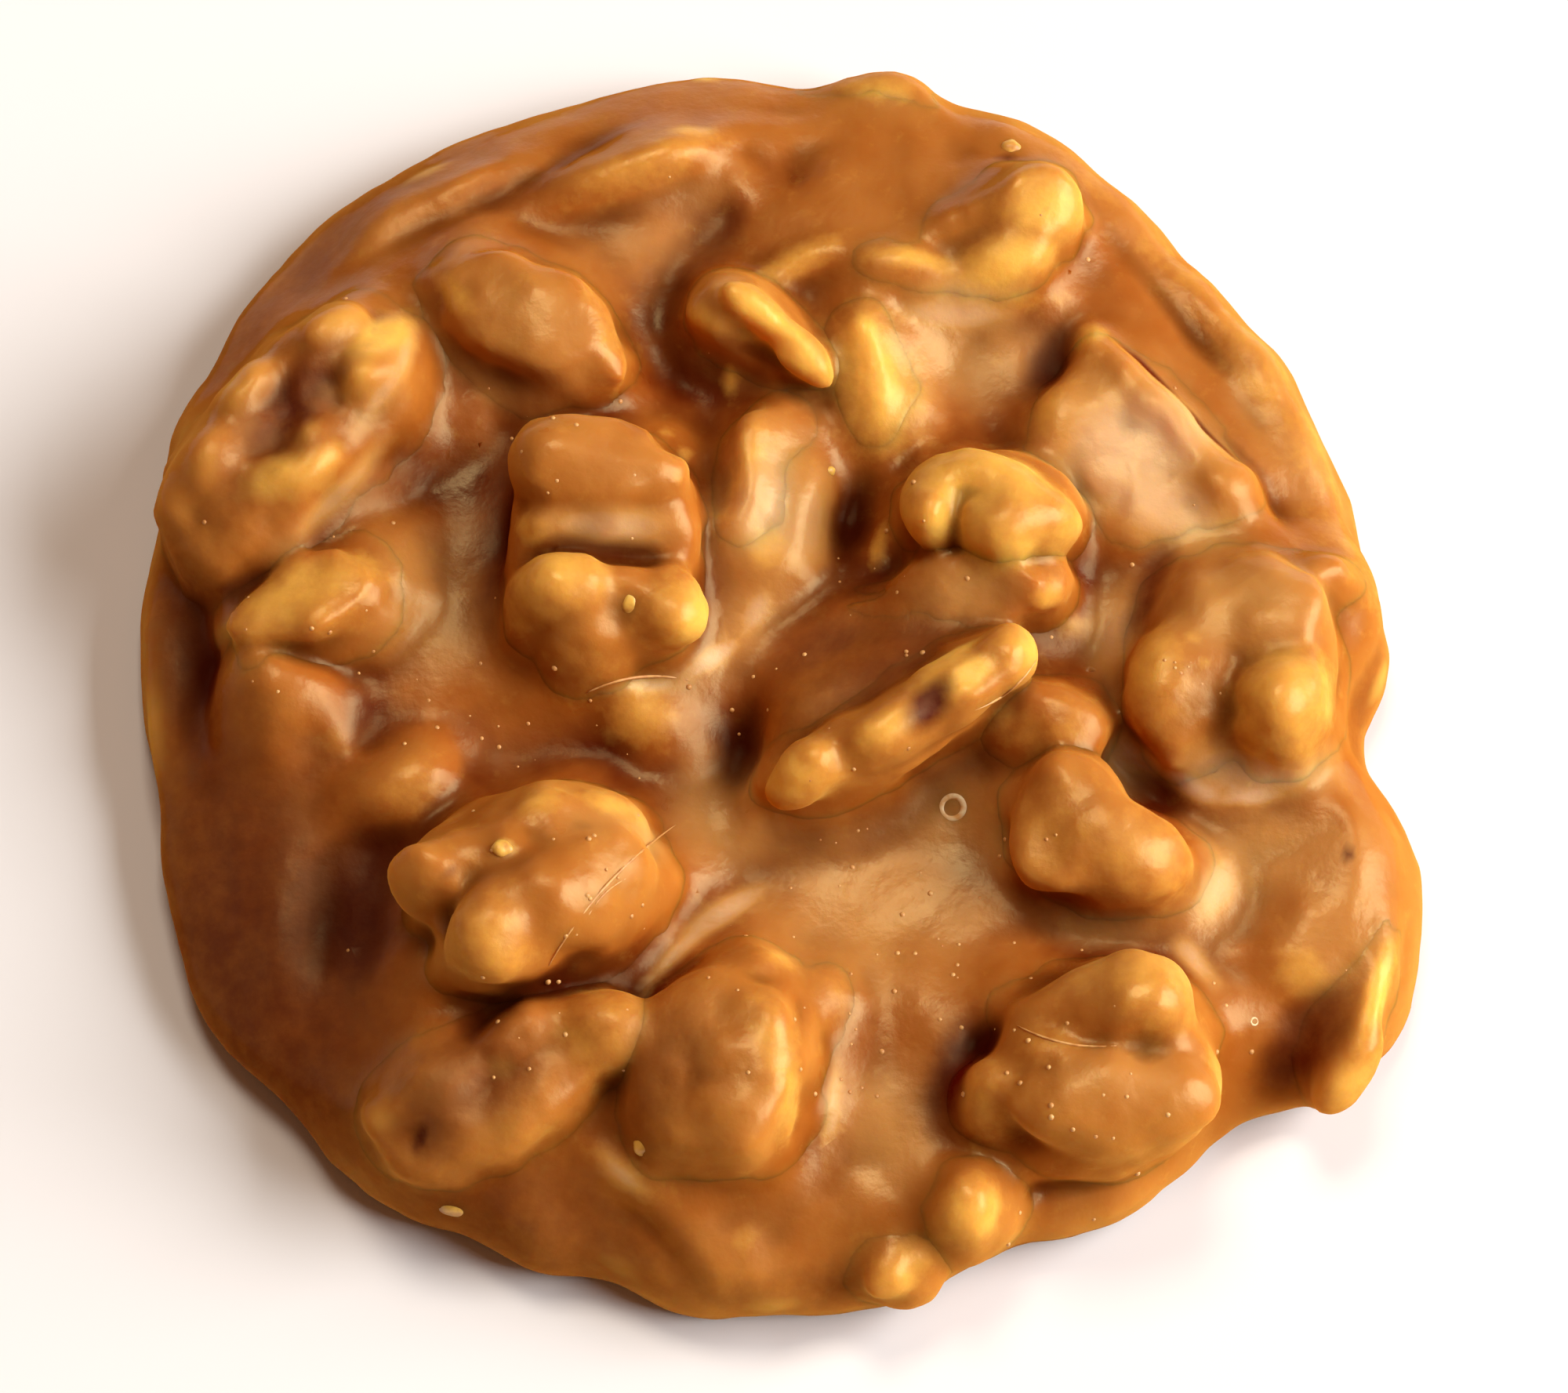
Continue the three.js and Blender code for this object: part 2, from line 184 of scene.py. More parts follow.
DETAILS = [
    # Brown half at the upper left, with a hollow along it and torn flesh
    Detail(370, 545, 18, 9, 0, 51, skin=0.5),
    Detail(375, 525, 12, 5.0, -0.5, 54, skin=0.9),
    Detail(385, 498, 2.2, 1.6, 0.5, 80, skin=0.9),
    Detail(358, 532, 2.2, 1.6, 0.5, 20, skin=0.9),
    Detail(402, 474, 2.4, 1.8, 0.5, 50, skin=0.8),
    Detail(335, 552, 2.0, 1.8, 0.5, 50, skin=0.8),
    Detail(402, 528, 2.0, 1.5, 0.7, 30, flesh_and_light=0.35),
    Detail(372, 560, 2.4, 1.8, 0.7, 70, flesh_and_light=0.3),
    Detail(420, 505, 1.8, 1.4, 0.6, 10, flesh_and_light=0.3),
    Detail(398, 560, 2.2, 1.6, 0.7, 50, flesh_and_light=0.45),
    Detail(345, 570, 1.8, 1.4, 0.5, 20, skin=0.6),
    Detail(432, 470, 2.2, 1.6, 0.5, 20, flesh_and_light=0.3),
    Detail(481, 450, 6.0, 2.6, 0.8, 62, flesh_and_light=1.3),
    Detail(462, 490, 2.6, 1.8, 0.7, 40, flesh_and_light=1.0),
    Detail(430, 420, 4.0, 2.4, 0.7, 20, flesh_and_light=0.5),
    Detail(366, 612, 4.8, 2.6, 0.9, 15, flesh_and_light=1.2),
    Detail(405, 588, 3.0, 1.8, 0.7, 40, flesh_and_light=0.8),
    Detail(318, 500, 4.4, 2.4, 0.9, 55, flesh_and_light=0.5),
    Detail(264, 590, 3.6, 2.0, 0.6, 80, flesh_and_light=0.25),
    Detail(300, 660, 6.0, 3.4, 0.5, 50),
    # Painted sheen along its right side
    Detail(495, 480, 9.0, 1.8, 0, 60, milk_and_sheen=1.4),
    Detail(425, 628, 9.0, 1.8, 0, 47, milk_and_sheen=1.2),
    Detail(500, 600, 9.0, 6.0, 0, 45, skin=0.45),
    # Slab to the right of it
    Detail(591, 384, 5.0, 1.6, 0.6, -50, flesh_and_light=0.6),
    Detail(760, 430, 6.5, 2.0, 0.5, -62, flesh_and_light=0.25),
    Detail(660, 395, 9.0, 5.6, 0.5, -35),
    # Dent with painted shade between the slab and the brown half
    Detail(520, 530, 7.0, 3.0, -0.9, 60, skin=0.2, candy_only=True),
    # Pointed piece at the left, and the lump below it
    Detail(322, 790, 4.6, 1.8, 0.5, 30, flesh_and_light=1.0),
    Detail(385, 762, 8.0, 4.4, 0.3, 24, flesh_and_light=0.6),
    # Painted shade in the dent above it
    Detail(325, 732, 8.0, 1.6, -0.9, 46, skin=0.7, candy_only=True),
    Detail(445, 742, 5.0, 3.4, 0.4, 20, flesh_and_light=0.45),
    Detail(390, 842, 9.0, 1.5, -0.8, -3, candy_only=True),
    # Painted shade in the dent left of it
    Detail(290, 820, 5.0, 1.4, -0.8, 30, skin=0.6, candy_only=True),
    Detail(360, 875, 8.0, 4.0, 0.9, -25),
    Detail(430, 945, 2.4, 1.4, 0.5, -60, flesh_and_light=0.2),
    # Broken double half left of the middle
    Detail(770, 592, 10, 6.0, 0.8, 0),
    Detail(852, 572, 4.2, 3.8, 1.0, 0),
    Detail(690, 585, 4.4, 4.4, 1.0, 0),
    Detail(765, 640, 8.0, 1.2, -0.2, -2),
    # Painted sheen on the lower face of the upper half
    Detail(775, 668, 9.0, 2.6, 0.5, -3, milk_and_sheen=1.5),
    Detail(690, 672, 2.4, 2.0, 0.5, 0, flesh_and_light=0.7),
    Detail(835, 585, 2.6, 2.2, -0.7, 30, skin=0.6),
    Detail(871, 588, 1.3, 1.0, 0.6, 40, flesh_and_light=0.4),
    Detail(845, 560, 1.2, 1.0, 0.5, 0, flesh_and_light=0.3),
    Detail(850, 622, 1.0, 0.8, 0.5, 0, flesh_and_light=0.6),
    Detail(775, 706, 13, 2.0, -1.5, 0),
    Detail(715, 745, 5.2, 3.8, 1.0, 10, flesh_and_light=0.95),
    Detail(861, 780, 3.8, 3.2, 1.3, 20, flesh_and_light=1.3),
    Detail(797, 778, 2.6, 2.2, -0.7, 80),
    Detail(745, 838, 4.6, 4.0, 0.7, 0, flesh_and_light=0.15),
    Detail(678, 775, 3.0, 4.0, 0.7, 0, flesh_and_light=0.35),
    # Leaning piece beside it
    Detail(935, 660, 8.0, 3.0, 0.8, 82, candy_only=True),
    # Painted sheen on it and on the candy round it
    Detail(975, 735, 7.0, 5.0, 0.9, 60, milk_and_sheen=1.2, candy_only=True),
    Detail(1015, 665, 9.0, 5.0, 1.4, 70, milk_and_sheen=1.2, candy_only=True),
    Detail(945, 590, 7.0, 2.4, 0, 68, flesh_and_light=0.3),
    Detail(985, 635, 11, 6.4, -1.2, 72, milk_and_sheen=1.3),
    Detail(995, 640, 6.0, 2.0, 0.5, 72, milk_and_sheen=1.8),
    Detail(1000, 585, 2.4, 1.6, 0.4, 20, milk_and_sheen=0.8),
    Detail(979, 700, 2.6, 2.0, 0.5, 40, flesh_and_light=0.45),
    # Yellow crescent and its crumbs
    Detail(992, 428, 8.6, 2.3, 0.6, -42, flesh_and_light=1.2),
    # Painted shade left of the crescent and under its overhang
    Detail(925, 410, 4.0, 4.0, 0, 0, skin=0.3),
    Detail(965, 425, 5.0, 1.6, -0.7, -35),
    Detail(972, 462, 4.0, 1.5, -1.0, -38, skin=0.5),
    Detail(906, 403, 2.8, 1.6, 0.6, -10, flesh_and_light=0.7),
    Detail(933, 483, 2.0, 1.0, 0.5, 78, flesh_and_light=0.7),
    Detail(1020, 338, 6.0, 2.0, 0.9, 24, flesh_and_light=0.5),
    # Upright stick
    Detail(1108, 430, 5.0, 3.6, 0, -80, flesh_and_light=1.1),
    Detail(1114, 480, 9.0, 5.0, -0.9, -80, flesh_and_light=0.75),
    # Painted sheen on the candy beside it
    Detail(1160, 485, 7.0, 4.0, 1.0, 80, milk_and_sheen=0.8, candy_only=True),
    # Golden head with a thin tail, upper right
    Detail(1330, 265, 5.0, 4.2, 0.8, 20, flesh_and_light=1.1),
    Detail(1285, 332, 6.0, 3.0, 0.6, 25, flesh_and_light=1.1),
    Detail(1326, 268, 0.9, 0.6, -0.4, 25, skin=0.8),
    Detail(1165, 342, 5.4, 1.6, 0.5, -5, flesh_and_light=0.8),
    Detail(1290, 385, 9.0, 1.4, 0.4, 4, flesh_and_light=0.15),
    Detail(1283, 204, 1.5, 1.0, -0.5, 0, skin=0.7),
    # Flat-faced piece at the right
    Detail(1390, 437, 2.6, 2.0, 0.9, 60, flesh_and_light=0.7),
    Detail(1350, 530, 3.6, 1.8, 0.5, 80, flesh_and_light=0.65),
    Detail(1485, 530, 8.5, 1.6, 0.6, -48),
    Detail(1462, 478, 6.0, 0.8, -0.3, -45, skin=1.0),
    Detail(1538, 556, 7.0, 0.8, -0.2, -48, skin=0.9),
    Detail(1592, 592, 5.0, 1.1, -0.6, -50, skin=0.4),
    # Painted shade left of it, and left of the piece with two knobs
    Detail(1340, 462, 6.0, 3.0, -1.0, 65, skin=0.9),
    Detail(1472, 762, 8.0, 2.6, -0.4, 70, skin=0.8, candy_only=True),
    Detail(1435, 672, 4.0, 3.0, 0.8, -30),
    Detail(1345, 602, 3.4, 2.6, 0.8, 70),
    Detail(1570, 632, 4.0, 3.0, 0.8, -30),
    Detail(1600, 505, 3.4, 1.5, 0.5, -45, flesh_and_light=0.4),
    # Knobbly piece right of the middle
    Detail(1190, 652, 3.2, 3.2, 1.5, 0, flesh_and_light=1.3),
    Detail(1275, 672, 5.2, 3.6, 1.5, -5, flesh_and_light=1.3),
    Detail(1224, 650, 3.6, 1.2, -0.8, 80),
    Detail(1250, 612, 10, 6.0, 0, -8, flesh_and_light=0.65),
    Detail(1222, 706, 5.4, 3.4, 1.6, 0, candy_only=True),
    Detail(1343, 668, 3.6, 3.2, 0.8, 0, flesh_and_light=0.7),
    Detail(1210, 602, 5.0, 2.8, 0.6, 10, flesh_and_light=0.3),
    Detail(1262, 632, 3.2, 1.8, -0.6, 0),
    Detail(1090, 655, 6.0, 3.0, -1.0, 70),
    Detail(1122, 700, 3.0, 1.0, 0.6, 75, flesh_and_light=0.6),
    Detail(1330, 752, 2.5, 2.0, 0.7, 10, flesh_and_light=0.55),
    # Painted sheen below it
    Detail(1235, 755, 8.0, 4.0, 0.3, 8, milk_and_sheen=0.9),
    # Standing slab in the middle, with pale broken edge and a patch of skin
    # Painted shade on its upper-left face, away from the light
    Detail(1060, 850, 11, 6.0, 0, 30, skin=0.95),
    Detail(1020, 990, 5.0, 3.0, 0.8, 25, flesh_and_light=0.8),
    Detail(1080, 968, 1.6, 2.4, -0.5, 30),
    Detail(1130, 932, 4.4, 2.0, 0.6, 32, flesh_and_light=0.8),
    Detail(1216, 856, 5.0, 2.4, 0.6, 42, flesh_and_light=1.2),
    # Painted highlight on the broken edge
    Detail(1236, 868, 3.6, 1.8, 0.2, 38, flesh_and_light=1.3, milk_and_sheen=1.6),
    Detail(1182, 902, 4.8, 2.2, 0, 38, skin=1.15),
    Detail(1290, 838, 3.8, 3.0, 1.0, 40, flesh_and_light=0.95),
    # The slope up to it, with painted shade
    Detail(1095, 838, 13, 7.0, 1.8, 30, skin=0.45),
    Detail(1122, 878, 15, 7.0, 2.6, 30, skin=0.6, candy_only=True),
    Detail(1175, 962, 12, 1.1, -0.7, 30, skin=0.3),
    Detail(1370, 805, 2.6, 1.2, 0.5, 30, flesh_and_light=0.4),
    # Small lump below the slab's right end
    Detail(1340, 928, 6.4, 4.4, 1.0, 0, flesh_and_light=0.2),
    Detail(1362, 930, 2.0, 2.0, 0.6, 0, flesh_and_light=0.5),
    Detail(1298, 918, 2.8, 2.0, 0.5, 30, flesh_and_light=0.6),
    # Kidney-shaped piece
    Detail(1378, 1000, 4.4, 4.4, 0.8, 70),
    # Flesh here also lightens its left side as painted light
    Detail(1362, 1060, 6.0, 7.0, 0.7, 0, flesh_and_light=0.2),
    Detail(1450, 1092, 7.0, 5.0, 0.8, -15, flesh_and_light=0.3),
    Detail(1465, 1098, 4.0, 3.0, 0, -10, flesh_and_light=0.5),
    Detail(1460, 1010, 5.0, 4.0, -1.6, -40),
    # Painted shadow left of it
    Detail(1292, 1072, 9.0, 3.6, -0.7, 95, skin=1.0, candy_only=True),
    # Piece with two knobs at the right
    # Painted sheen on its body
    Detail(1590, 785, 10, 7.0, 1.2, 0, milk_and_sheen=1.1),
    Detail(1680, 770, 5.0, 7.0, 0.8, 0),
    Detail(1722, 770, 4.0, 9.0, 1.0, 0, candy_only=True),
    Detail(1640, 700, 9.0, 4.0, 0.8, -10, candy_only=True),
    Detail(1484, 868, 6.0, 3.4, 1.2, 82, flesh_and_light=0.7),
    Detail(1634, 900, 6.2, 5.2, 2.0, 60, flesh_and_light=0.95),
    Detail(1568, 888, 3.4, 5.0, 0.7, 80),
    Detail(1525, 825, 1.0, 0.8, 0.4, 0, flesh_and_light=0.5),
    Detail(1531, 850, 1.0, 0.8, 0.4, 0, flesh_and_light=0.5),
    # Broken half at the lower left
    Detail(545, 1128, 4.6, 4.0, 0.5, 80),
    Detail(568, 1186, 3.0, 2.0, -0.9, 30, skin=0.3),
    Detail(622, 1200, 4.6, 3.6, 1.1, -62, flesh_and_light=0.6),
    Detail(690, 1038, 3.0, 2.4, 0.6, 60, flesh_and_light=0.6),
    Detail(640, 1082, 1.3, 0.9, 0.6, -20, flesh_and_light=1),
    Detail(775, 1042, 4.4, 2.6, 0.4, -5, flesh_and_light=0.6),
    Detail(572, 1110, 1.6, 0.9, -0.2, 30, skin=0.7),
    Detail(715, 1112, 10, 6.4, 1.5, 40),
    Detail(760, 1140, 8.0, 5.0, 1.0, 40),
    Detail(770, 1075, 9.0, 4.0, 0, 20, milk_and_sheen=1.2),
    # Piece below it with a golden knob
    Detail(752, 1325, 5.6, 5.0, 2.4, 60, flesh_and_light=0.5),
    Detail(640, 1362, 2.4, 1.8, 0.5, -50, flesh_and_light=0.5),
    Detail(492, 1425, 2.4, 1.8, 0.5, 30, flesh_and_light=0.4),
    Detail(670, 1318, 5.0, 3.4, 0.9, 30),
    Detail(690, 1395, 7.0, 3.8, 0.9, 30),
    Detail(570, 1395, 6.0, 4.2, 0.8, 40, flesh_and_light=0.1),
    Detail(640, 1436, 6.0, 3.0, 0.6, 25, flesh_and_light=0.2),
    Detail(600, 1390, 13, 8.0, 0, 35, skin=0.7),
    Detail(690, 1362, 7.0, 6.0, 0, 35, skin=0.45),
    Detail(537, 1452, 2.6, 1.0, -0.7, 62, skin=0.9),
    # Large piece at the bottom
    Detail(915, 1360, 11, 9.0, 1.2, 100),
    Detail(985, 1365, 7.5, 2.6, 0.4, 102, flesh_and_light=0.8),
    Detail(895, 1295, 4.0, 3.0, 0.6, 40, flesh_and_light=0.1),
    Detail(930, 1452, 5.0, 3.0, 0.7, 10),
    # Painted shade on its left face, and painted light in its middle
    Detail(860, 1385, 11, 8.0, 0, 80, skin=0.5),
    Detail(910, 1370, 8.0, 6.0, 0, 90, milk_and_sheen=0.5),
    Detail(1005, 1440, 4.0, 2.4, 0.5, 80, flesh_and_light=0.15),
    Detail(985, 1240, 3.4, 2.2, 0.6, 20, flesh_and_light=0.3),
    Detail(1048, 1280, 4.0, 2.2, 0.6, 70, flesh_and_light=0.25),
    Detail(1018, 1290, 3.4, 1.4, -0.6, 80),
    # Folded double half at the lower right
    Detail(1380, 1285, 9.0, 4.4, 0.7, 20),
    Detail(1462, 1272, 5.0, 4.8, 1.5, 0, flesh_and_light=0.7),
    # Painted highlight on the upper lobe
    Detail(1435, 1258, 8.0, 4.0, 0, 0, flesh_and_light=0.4, milk_and_sheen=1.4),
    Detail(1345, 1316, 7.0, 1.3, -0.5, -14),
    Detail(1464, 1338, 4.4, 2.4, 0.6, 8, flesh_and_light=0.2),
    # Painted shadow in the notch at its left
    Detail(1250, 1338, 4.0, 3.6, -1.1, 0, skin=0.9),
    Detail(1345, 1346, 4.0, 2.4, 0.8, -5, flesh_and_light=0.25),
    Detail(1325, 1374, 5.0, 1.2, -0.4, -8),
    Detail(1420, 1406, 12, 5.4, 1.2, 3),
    # Painted sheen on the lower lobe
    Detail(1425, 1385, 8.0, 4.4, 0, 3, milk_and_sheen=1.3),
    Detail(1262, 1402, 3.6, 4.4, 0.9, 0, flesh_and_light=0.4),
    Detail(1522, 1385, 3.6, 4.8, 0.9, 0, flesh_and_light=0.6),
    # Painted shadow left of it
    Detail(1222, 1368, 8.0, 3.6, -0.6, 75, skin=1.0),
    Detail(1385, 1508, 12, 1.7, -1.2, 6),
    # Two small pieces at the bottom rim
    Detail(1235, 1545, 3.6, 3.2, 0.8, 60, flesh_and_light=0.95),
    Detail(1145, 1620, 4.4, 2.6, 0.5, 42, flesh_and_light=0.5),
    # Crescent in the right lobe and the dark hollow beside it
    Detail(1745, 1275, 7.0, 1.4, 0.8, 72, flesh_and_light=1.3),
    Detail(1718, 1365, 5.0, 2.4, 0.4, 65, flesh_and_light=1.0),
    # Painted shade in the hollow beside it
    Detail(1668, 1330, 9.0, 4.6, -1.0, 62, skin=0.8),
    Detail(1665, 1240, 3.4, 3.2, 0.2, 0, flesh_and_light=0.4),
    Detail(1720, 1090, 1.4, 0.9, -0.2, 70, skin=0.9),
    # Rim
    Detail(1120, 122, 5.0, 2.0, 0.3, -5, flesh_and_light=0.7),
    Detail(545, 220, 3.2, 1.0, 0.2, 28, flesh_and_light=0.6),
    Detail(900, 106, 1.8, 0.9, 0.3, 0, flesh_and_light=0.7),
    Detail(206, 930, 6.5, 1.6, 0.4, 86, flesh_and_light=0.55),
    Detail(1752, 870, 3.0, 1.4, 0.3, 70, flesh_and_light=0.6),
    Detail(985, 1662, 3.4, 1.6, 0.4, 5, flesh_and_light=0.4),
    Detail(790, 1612, 3.0, 1.4, 0.3, -30, flesh_and_light=0.3),
    # Covered lumps and ridges in the candy
    Detail(817, 914, 4.2, 3.4, 0.8, 0, flesh_and_light=0.5),
    Detail(520, 1002, 6.0, 4.0, 1.0, 28, flesh_and_light=0.15),
    Detail(800, 1502, 6.0, 2.0, 0.9, -38, flesh_and_light=0.2),
    Detail(820, 212, 11, 2.8, 1.1, 24, flesh_and_light=0.2),
    Detail(880, 180, 3.6, 1.8, 0.3, 20, flesh_and_light=0.5),
    # Lip and ridges along the rim
    Detail(1290, 178, 9.0, 3.4, 0.6, -22),
    Detail(1400, 250, 9.0, 3.4, 0.7, -36, flesh_and_light=0.1),
    Detail(1500, 350, 9.0, 3.2, 0.7, -48, flesh_and_light=0.15),
    Detail(1590, 460, 9.0, 3.2, 0.8, -54, flesh_and_light=0.2),
    Detail(1655, 580, 8.0, 3.2, 0.8, -64, flesh_and_light=0.2),
    Detail(1705, 730, 9.0, 3.4, 0.7, -74, flesh_and_light=0.2),
    Detail(1520, 420, 12, 1.6, -0.5, -52),
    Detail(1612, 640, 8.0, 1.6, -0.5, -60),
    Detail(205, 900, 11, 2.6, 0.8, 88, flesh_and_light=0.1),
    # Dent with painted shade along the left rim
    Detail(262, 800, 12, 3.4, -1.0, 92, skin=0.5),
    Detail(225, 1130, 9.0, 3.0, 0.5, 96),
    Detail(270, 1280, 9.0, 3.4, 0.5, 118),
    Detail(405, 1150, 14, 3.0, -0.6, 84),
    Detail(900, 1518, 7.0, 1.8, -0.7, 0),
    Detail(948, 1580, 1.8, 1.6, 0.4, 0, flesh_and_light=0.2),
    Detail(950, 1632, 8.0, 4.0, 0.7, 0),
    Detail(860, 1600, 6.0, 2.0, -0.6, -60),
    Detail(1070, 1560, 6.0, 3.0, 0.5, 40),
    Detail(1370, 1560, 10, 2.6, 0.5, 12),
    Detail(1330, 1590, 8.0, 1.4, -0.4, 14),
    Detail(640, 215, 9.0, 2.2, 0.6, 26),
    Detail(600, 265, 12, 2.0, -0.5, 28),
    Detail(470, 300, 9.0, 2.4, 0.6, 40),
    Detail(980, 165, 9.0, 3.0, 0.5, 8),
    Detail(1030, 200, 7.0, 3.0, -0.5, 60),
    # Painted shade: darker caramel along the left and lower left, away from the light, and in a few
    # other shaded places
    Detail(325, 1220, 38, 18, 0, 107, skin=0.75),
    Detail(620, 1560, 24, 12, 0, -22, skin=0.55),
    Detail(840, 1590, 18, 9, 0, -10, skin=0.2),
    Detail(250, 830, 24, 8, 0, 96, skin=0.7),
    Detail(280, 450, 26, 7, 0, 58, skin=0.45),
    Detail(430, 300, 30, 6, 0, 38, skin=0.4),
    Detail(700, 960, 9.0, 4.0, -0.4, 10, skin=0.15),
    Detail(1738, 900, 10, 4.0, 0, 85, skin=0.45),
    Detail(800, 560, 8.0, 5.0, 0, 0, skin=0.5),
    Detail(640, 250, 10, 4.0, 0, 26, skin=0.35),
    Detail(440, 945, 12, 8.0, 0, 0, skin=0.35),
    Detail(1020, 1650, 15, 5.0, 0, 0, skin=0.35),
    # Painted sheen and painted light: paler, milky caramel on the flats
    Detail(1110, 1160, 17, 13, 0, 0, milk_and_sheen=0.7),
    Detail(1230, 450, 11, 8.0, 0, 0, milk_and_sheen=0.7),
    Detail(1215, 400, 8.0, 2.4, 0, 0, milk_and_sheen=1.6),
    Detail(545, 770, 12, 10, 0, 0, milk_and_sheen=0.6),
    Detail(960, 780, 14, 5.0, 0, 55, milk_and_sheen=0.7),
    Detail(1130, 1450, 9.0, 6.0, 0, 80, milk_and_sheen=0.8),
    # Painted shade beside the large piece
    Detail(1040, 1400, 9.0, 3.0, 0, 85, skin=0.2),
    Detail(1450, 570, 11, 9.0, 0, 0, milk_and_sheen=1.8),
    Detail(1475, 635, 11, 6.0, 0, -30, milk_and_sheen=1.6),
    Detail(1232, 365, 8.0, 3.0, 0, 0, milk_and_sheen=1.3),
    Detail(1430, 820, 5.0, 9.0, 0, 0, milk_and_sheen=1.3, candy_only=True),
    Detail(1432, 945, 5.0, 7.0, 0, 0, milk_and_sheen=1.3, candy_only=True),
    Detail(1600, 980, 11, 4.0, 0, 0, milk_and_sheen=1.5, candy_only=True),
    Detail(1235, 1055, 10, 8.0, 0, 0, milk_and_sheen=0.8),
    Detail(1430, 1165, 9.0, 4.0, 0.5, 0, milk_and_sheen=0.9, candy_only=True),
    Detail(930, 1040, 9.0, 9.0, 0, 0, milk_and_sheen=0.9),
    Detail(640, 470, 8.0, 5.0, 0, -40, milk_and_sheen=0.6),
    Detail(930, 455, 7.0, 6.0, 0, 0, milk_and_sheen=0.5),
    Detail(795, 1238, 9.0, 4.4, 0.9, 35, candy_only=True),
    Detail(1540, 1160, 9.0, 7.0, 0, 20, milk_and_sheen=0.6),
    Detail(1605, 1095, 10, 8.0, 0, 0, milk_and_sheen=0.9),
    Detail(1600, 760, 11, 9.0, 0, 0, milk_and_sheen=0.6),
    Detail(680, 420, 11, 8.0, 0, -40, milk_and_sheen=0.5),
    Detail(1700, 1180, 7.0, 10, 0, 0, milk_and_sheen=0.5),
    Detail(1640, 560, 6.0, 22, 0, 25, milk_and_sheen=0.5),
    Detail(840, 300, 14, 8.0, 0, 30, milk_and_sheen=0.4),
    # Painted highlights: pale arcs where the candy climbs the pieces
    Detail(1424, 915, 3.4, 1.2, 0.2, 90, milk_and_sheen=2.2, candy_only=True),
    Detail(1455, 965, 4.0, 1.3, 0.2, -35, milk_and_sheen=2.2, candy_only=True),
    Detail(1520, 1003, 4.6, 1.4, 0.2, -28, milk_and_sheen=2.2, candy_only=True),
    Detail(1595, 1016, 4.0, 1.2, 0.2, 5, milk_and_sheen=2.0, candy_only=True),
    Detail(822, 1296, 5.0, 0.9, 0.1, 65, milk_and_sheen=1.8, candy_only=True),
    Detail(865, 1228, 6.5, 1.2, 0.2, 50, milk_and_sheen=1.8, candy_only=True),
    Detail(925, 1165, 7.0, 1.8, 0.2, 38, milk_and_sheen=1.7, candy_only=True),
    Detail(820, 880, 5.0, 1.0, 0.2, 8, milk_and_sheen=2.2, candy_only=True),
    Detail(905, 842, 5.0, 1.4, 0.2, 35, milk_and_sheen=2.2, candy_only=True),
    Detail(965, 780, 5.0, 2.0, 0.2, 65, milk_and_sheen=2.0, candy_only=True),
    Detail(1062, 1420, 6.0, 1.0, 0.2, 86, milk_and_sheen=1.5, candy_only=True),
    Detail(798, 1500, 4.0, 1.3, 0.3, -40, milk_and_sheen=2.0, candy_only=True),
    Detail(1550, 1135, 6.0, 3.2, 0.2, 65, milk_and_sheen=1.3, candy_only=True),
    Detail(1520, 1225, 4.5, 1.6, 0.2, -50, milk_and_sheen=1.5, candy_only=True),
    # Hollows in the candy, some with painted shade beside the pieces
    Detail(715, 195, 11, 3.0, -0.7, 26),
    Detail(885, 335, 8.0, 4.0, -0.6, 60),
    Detail(240, 830, 14, 4.0, -0.7, 100),
    Detail(450, 1170, 13, 6.0, -1.2, 82, skin=0.95),
    Detail(640, 690, 14, 3.0, -0.9, 88, skin=0.7),
    Detail(880, 470, 5.0, 4.0, -0.7, 0),
    Detail(945, 960, 6.0, 3.0, -0.8, 80, skin=0.3),
    Detail(500, 640, 9.0, 3.0, -0.5, 30),
]


class Facet(NamedTuple):
    """A flat broken face of a piece of pecan, where a photograph pixel shows the surface.

    heading and tilt are the direction of its normal in degrees, tilt counted from straight up.
    depth is how far below the surface the face is there, in millimetres.
    """

    node: str
    px: float
    py: float
    heading: float
    tilt: float
    depth: float = 0


FACETS = [
    # Lower right side of the brown half
    Facet("pecan_01", 480, 545, -40, 48, 0.4),
    # Lower left side of the slab at the upper left
    Facet("pecan_02", 640, 442, 228, 50),
    # Four sides and the top of the flat-faced piece at the right
    Facet("pecan_08", 1362, 515, 165, 55),
    Facet("pecan_08", 1385, 648, 223, 55),
    Facet("pecan_08", 1510, 668, -72, 60),
    Facet("pecan_08", 1500, 530, 42, 60),
    Facet("pecan_08", 1450, 560, -40, 3, 0.8),
    # Ends of the upper lobe of the folded half
    Facet("pecan_18", 1300, 1285, 150, 60),
    Facet("pecan_18", 1345, 1262, 118, 48, 0.5),
    Facet("pecan_18", 1500, 1285, 25, 60),
]


class Crumb(NamedTuple):
    """A loose bit of kernel; sizes in millimetres."""

    px: float
    py: float
    length: float
    width: float
    height: float
    turn: float


CRUMBS = [
    Crumb(577, 1543, 1.9, 1.2, 0.8, -15),
    Crumb(640, 1082, 1.4, 1.1, 0.9, -20),
    Crumb(815, 1464, 1.2, 1.1, 0.8, 0),
    Crumb(1060, 600, 0.8, 0.7, 0.5, 20),
    Crumb(803, 770, 1.5, 1.1, 0.8, 80),
    Crumb(1290, 186, 1.3, 1.1, 0.8, 0),
]


class Thread(NamedTuple):
    """A thread of set glaze between two photograph pixels.

    bow is how far its middle is aside, in pixels, and radius is in millimetres.
    """

    start: tuple
    end: tuple
    bow: float
    radius: float


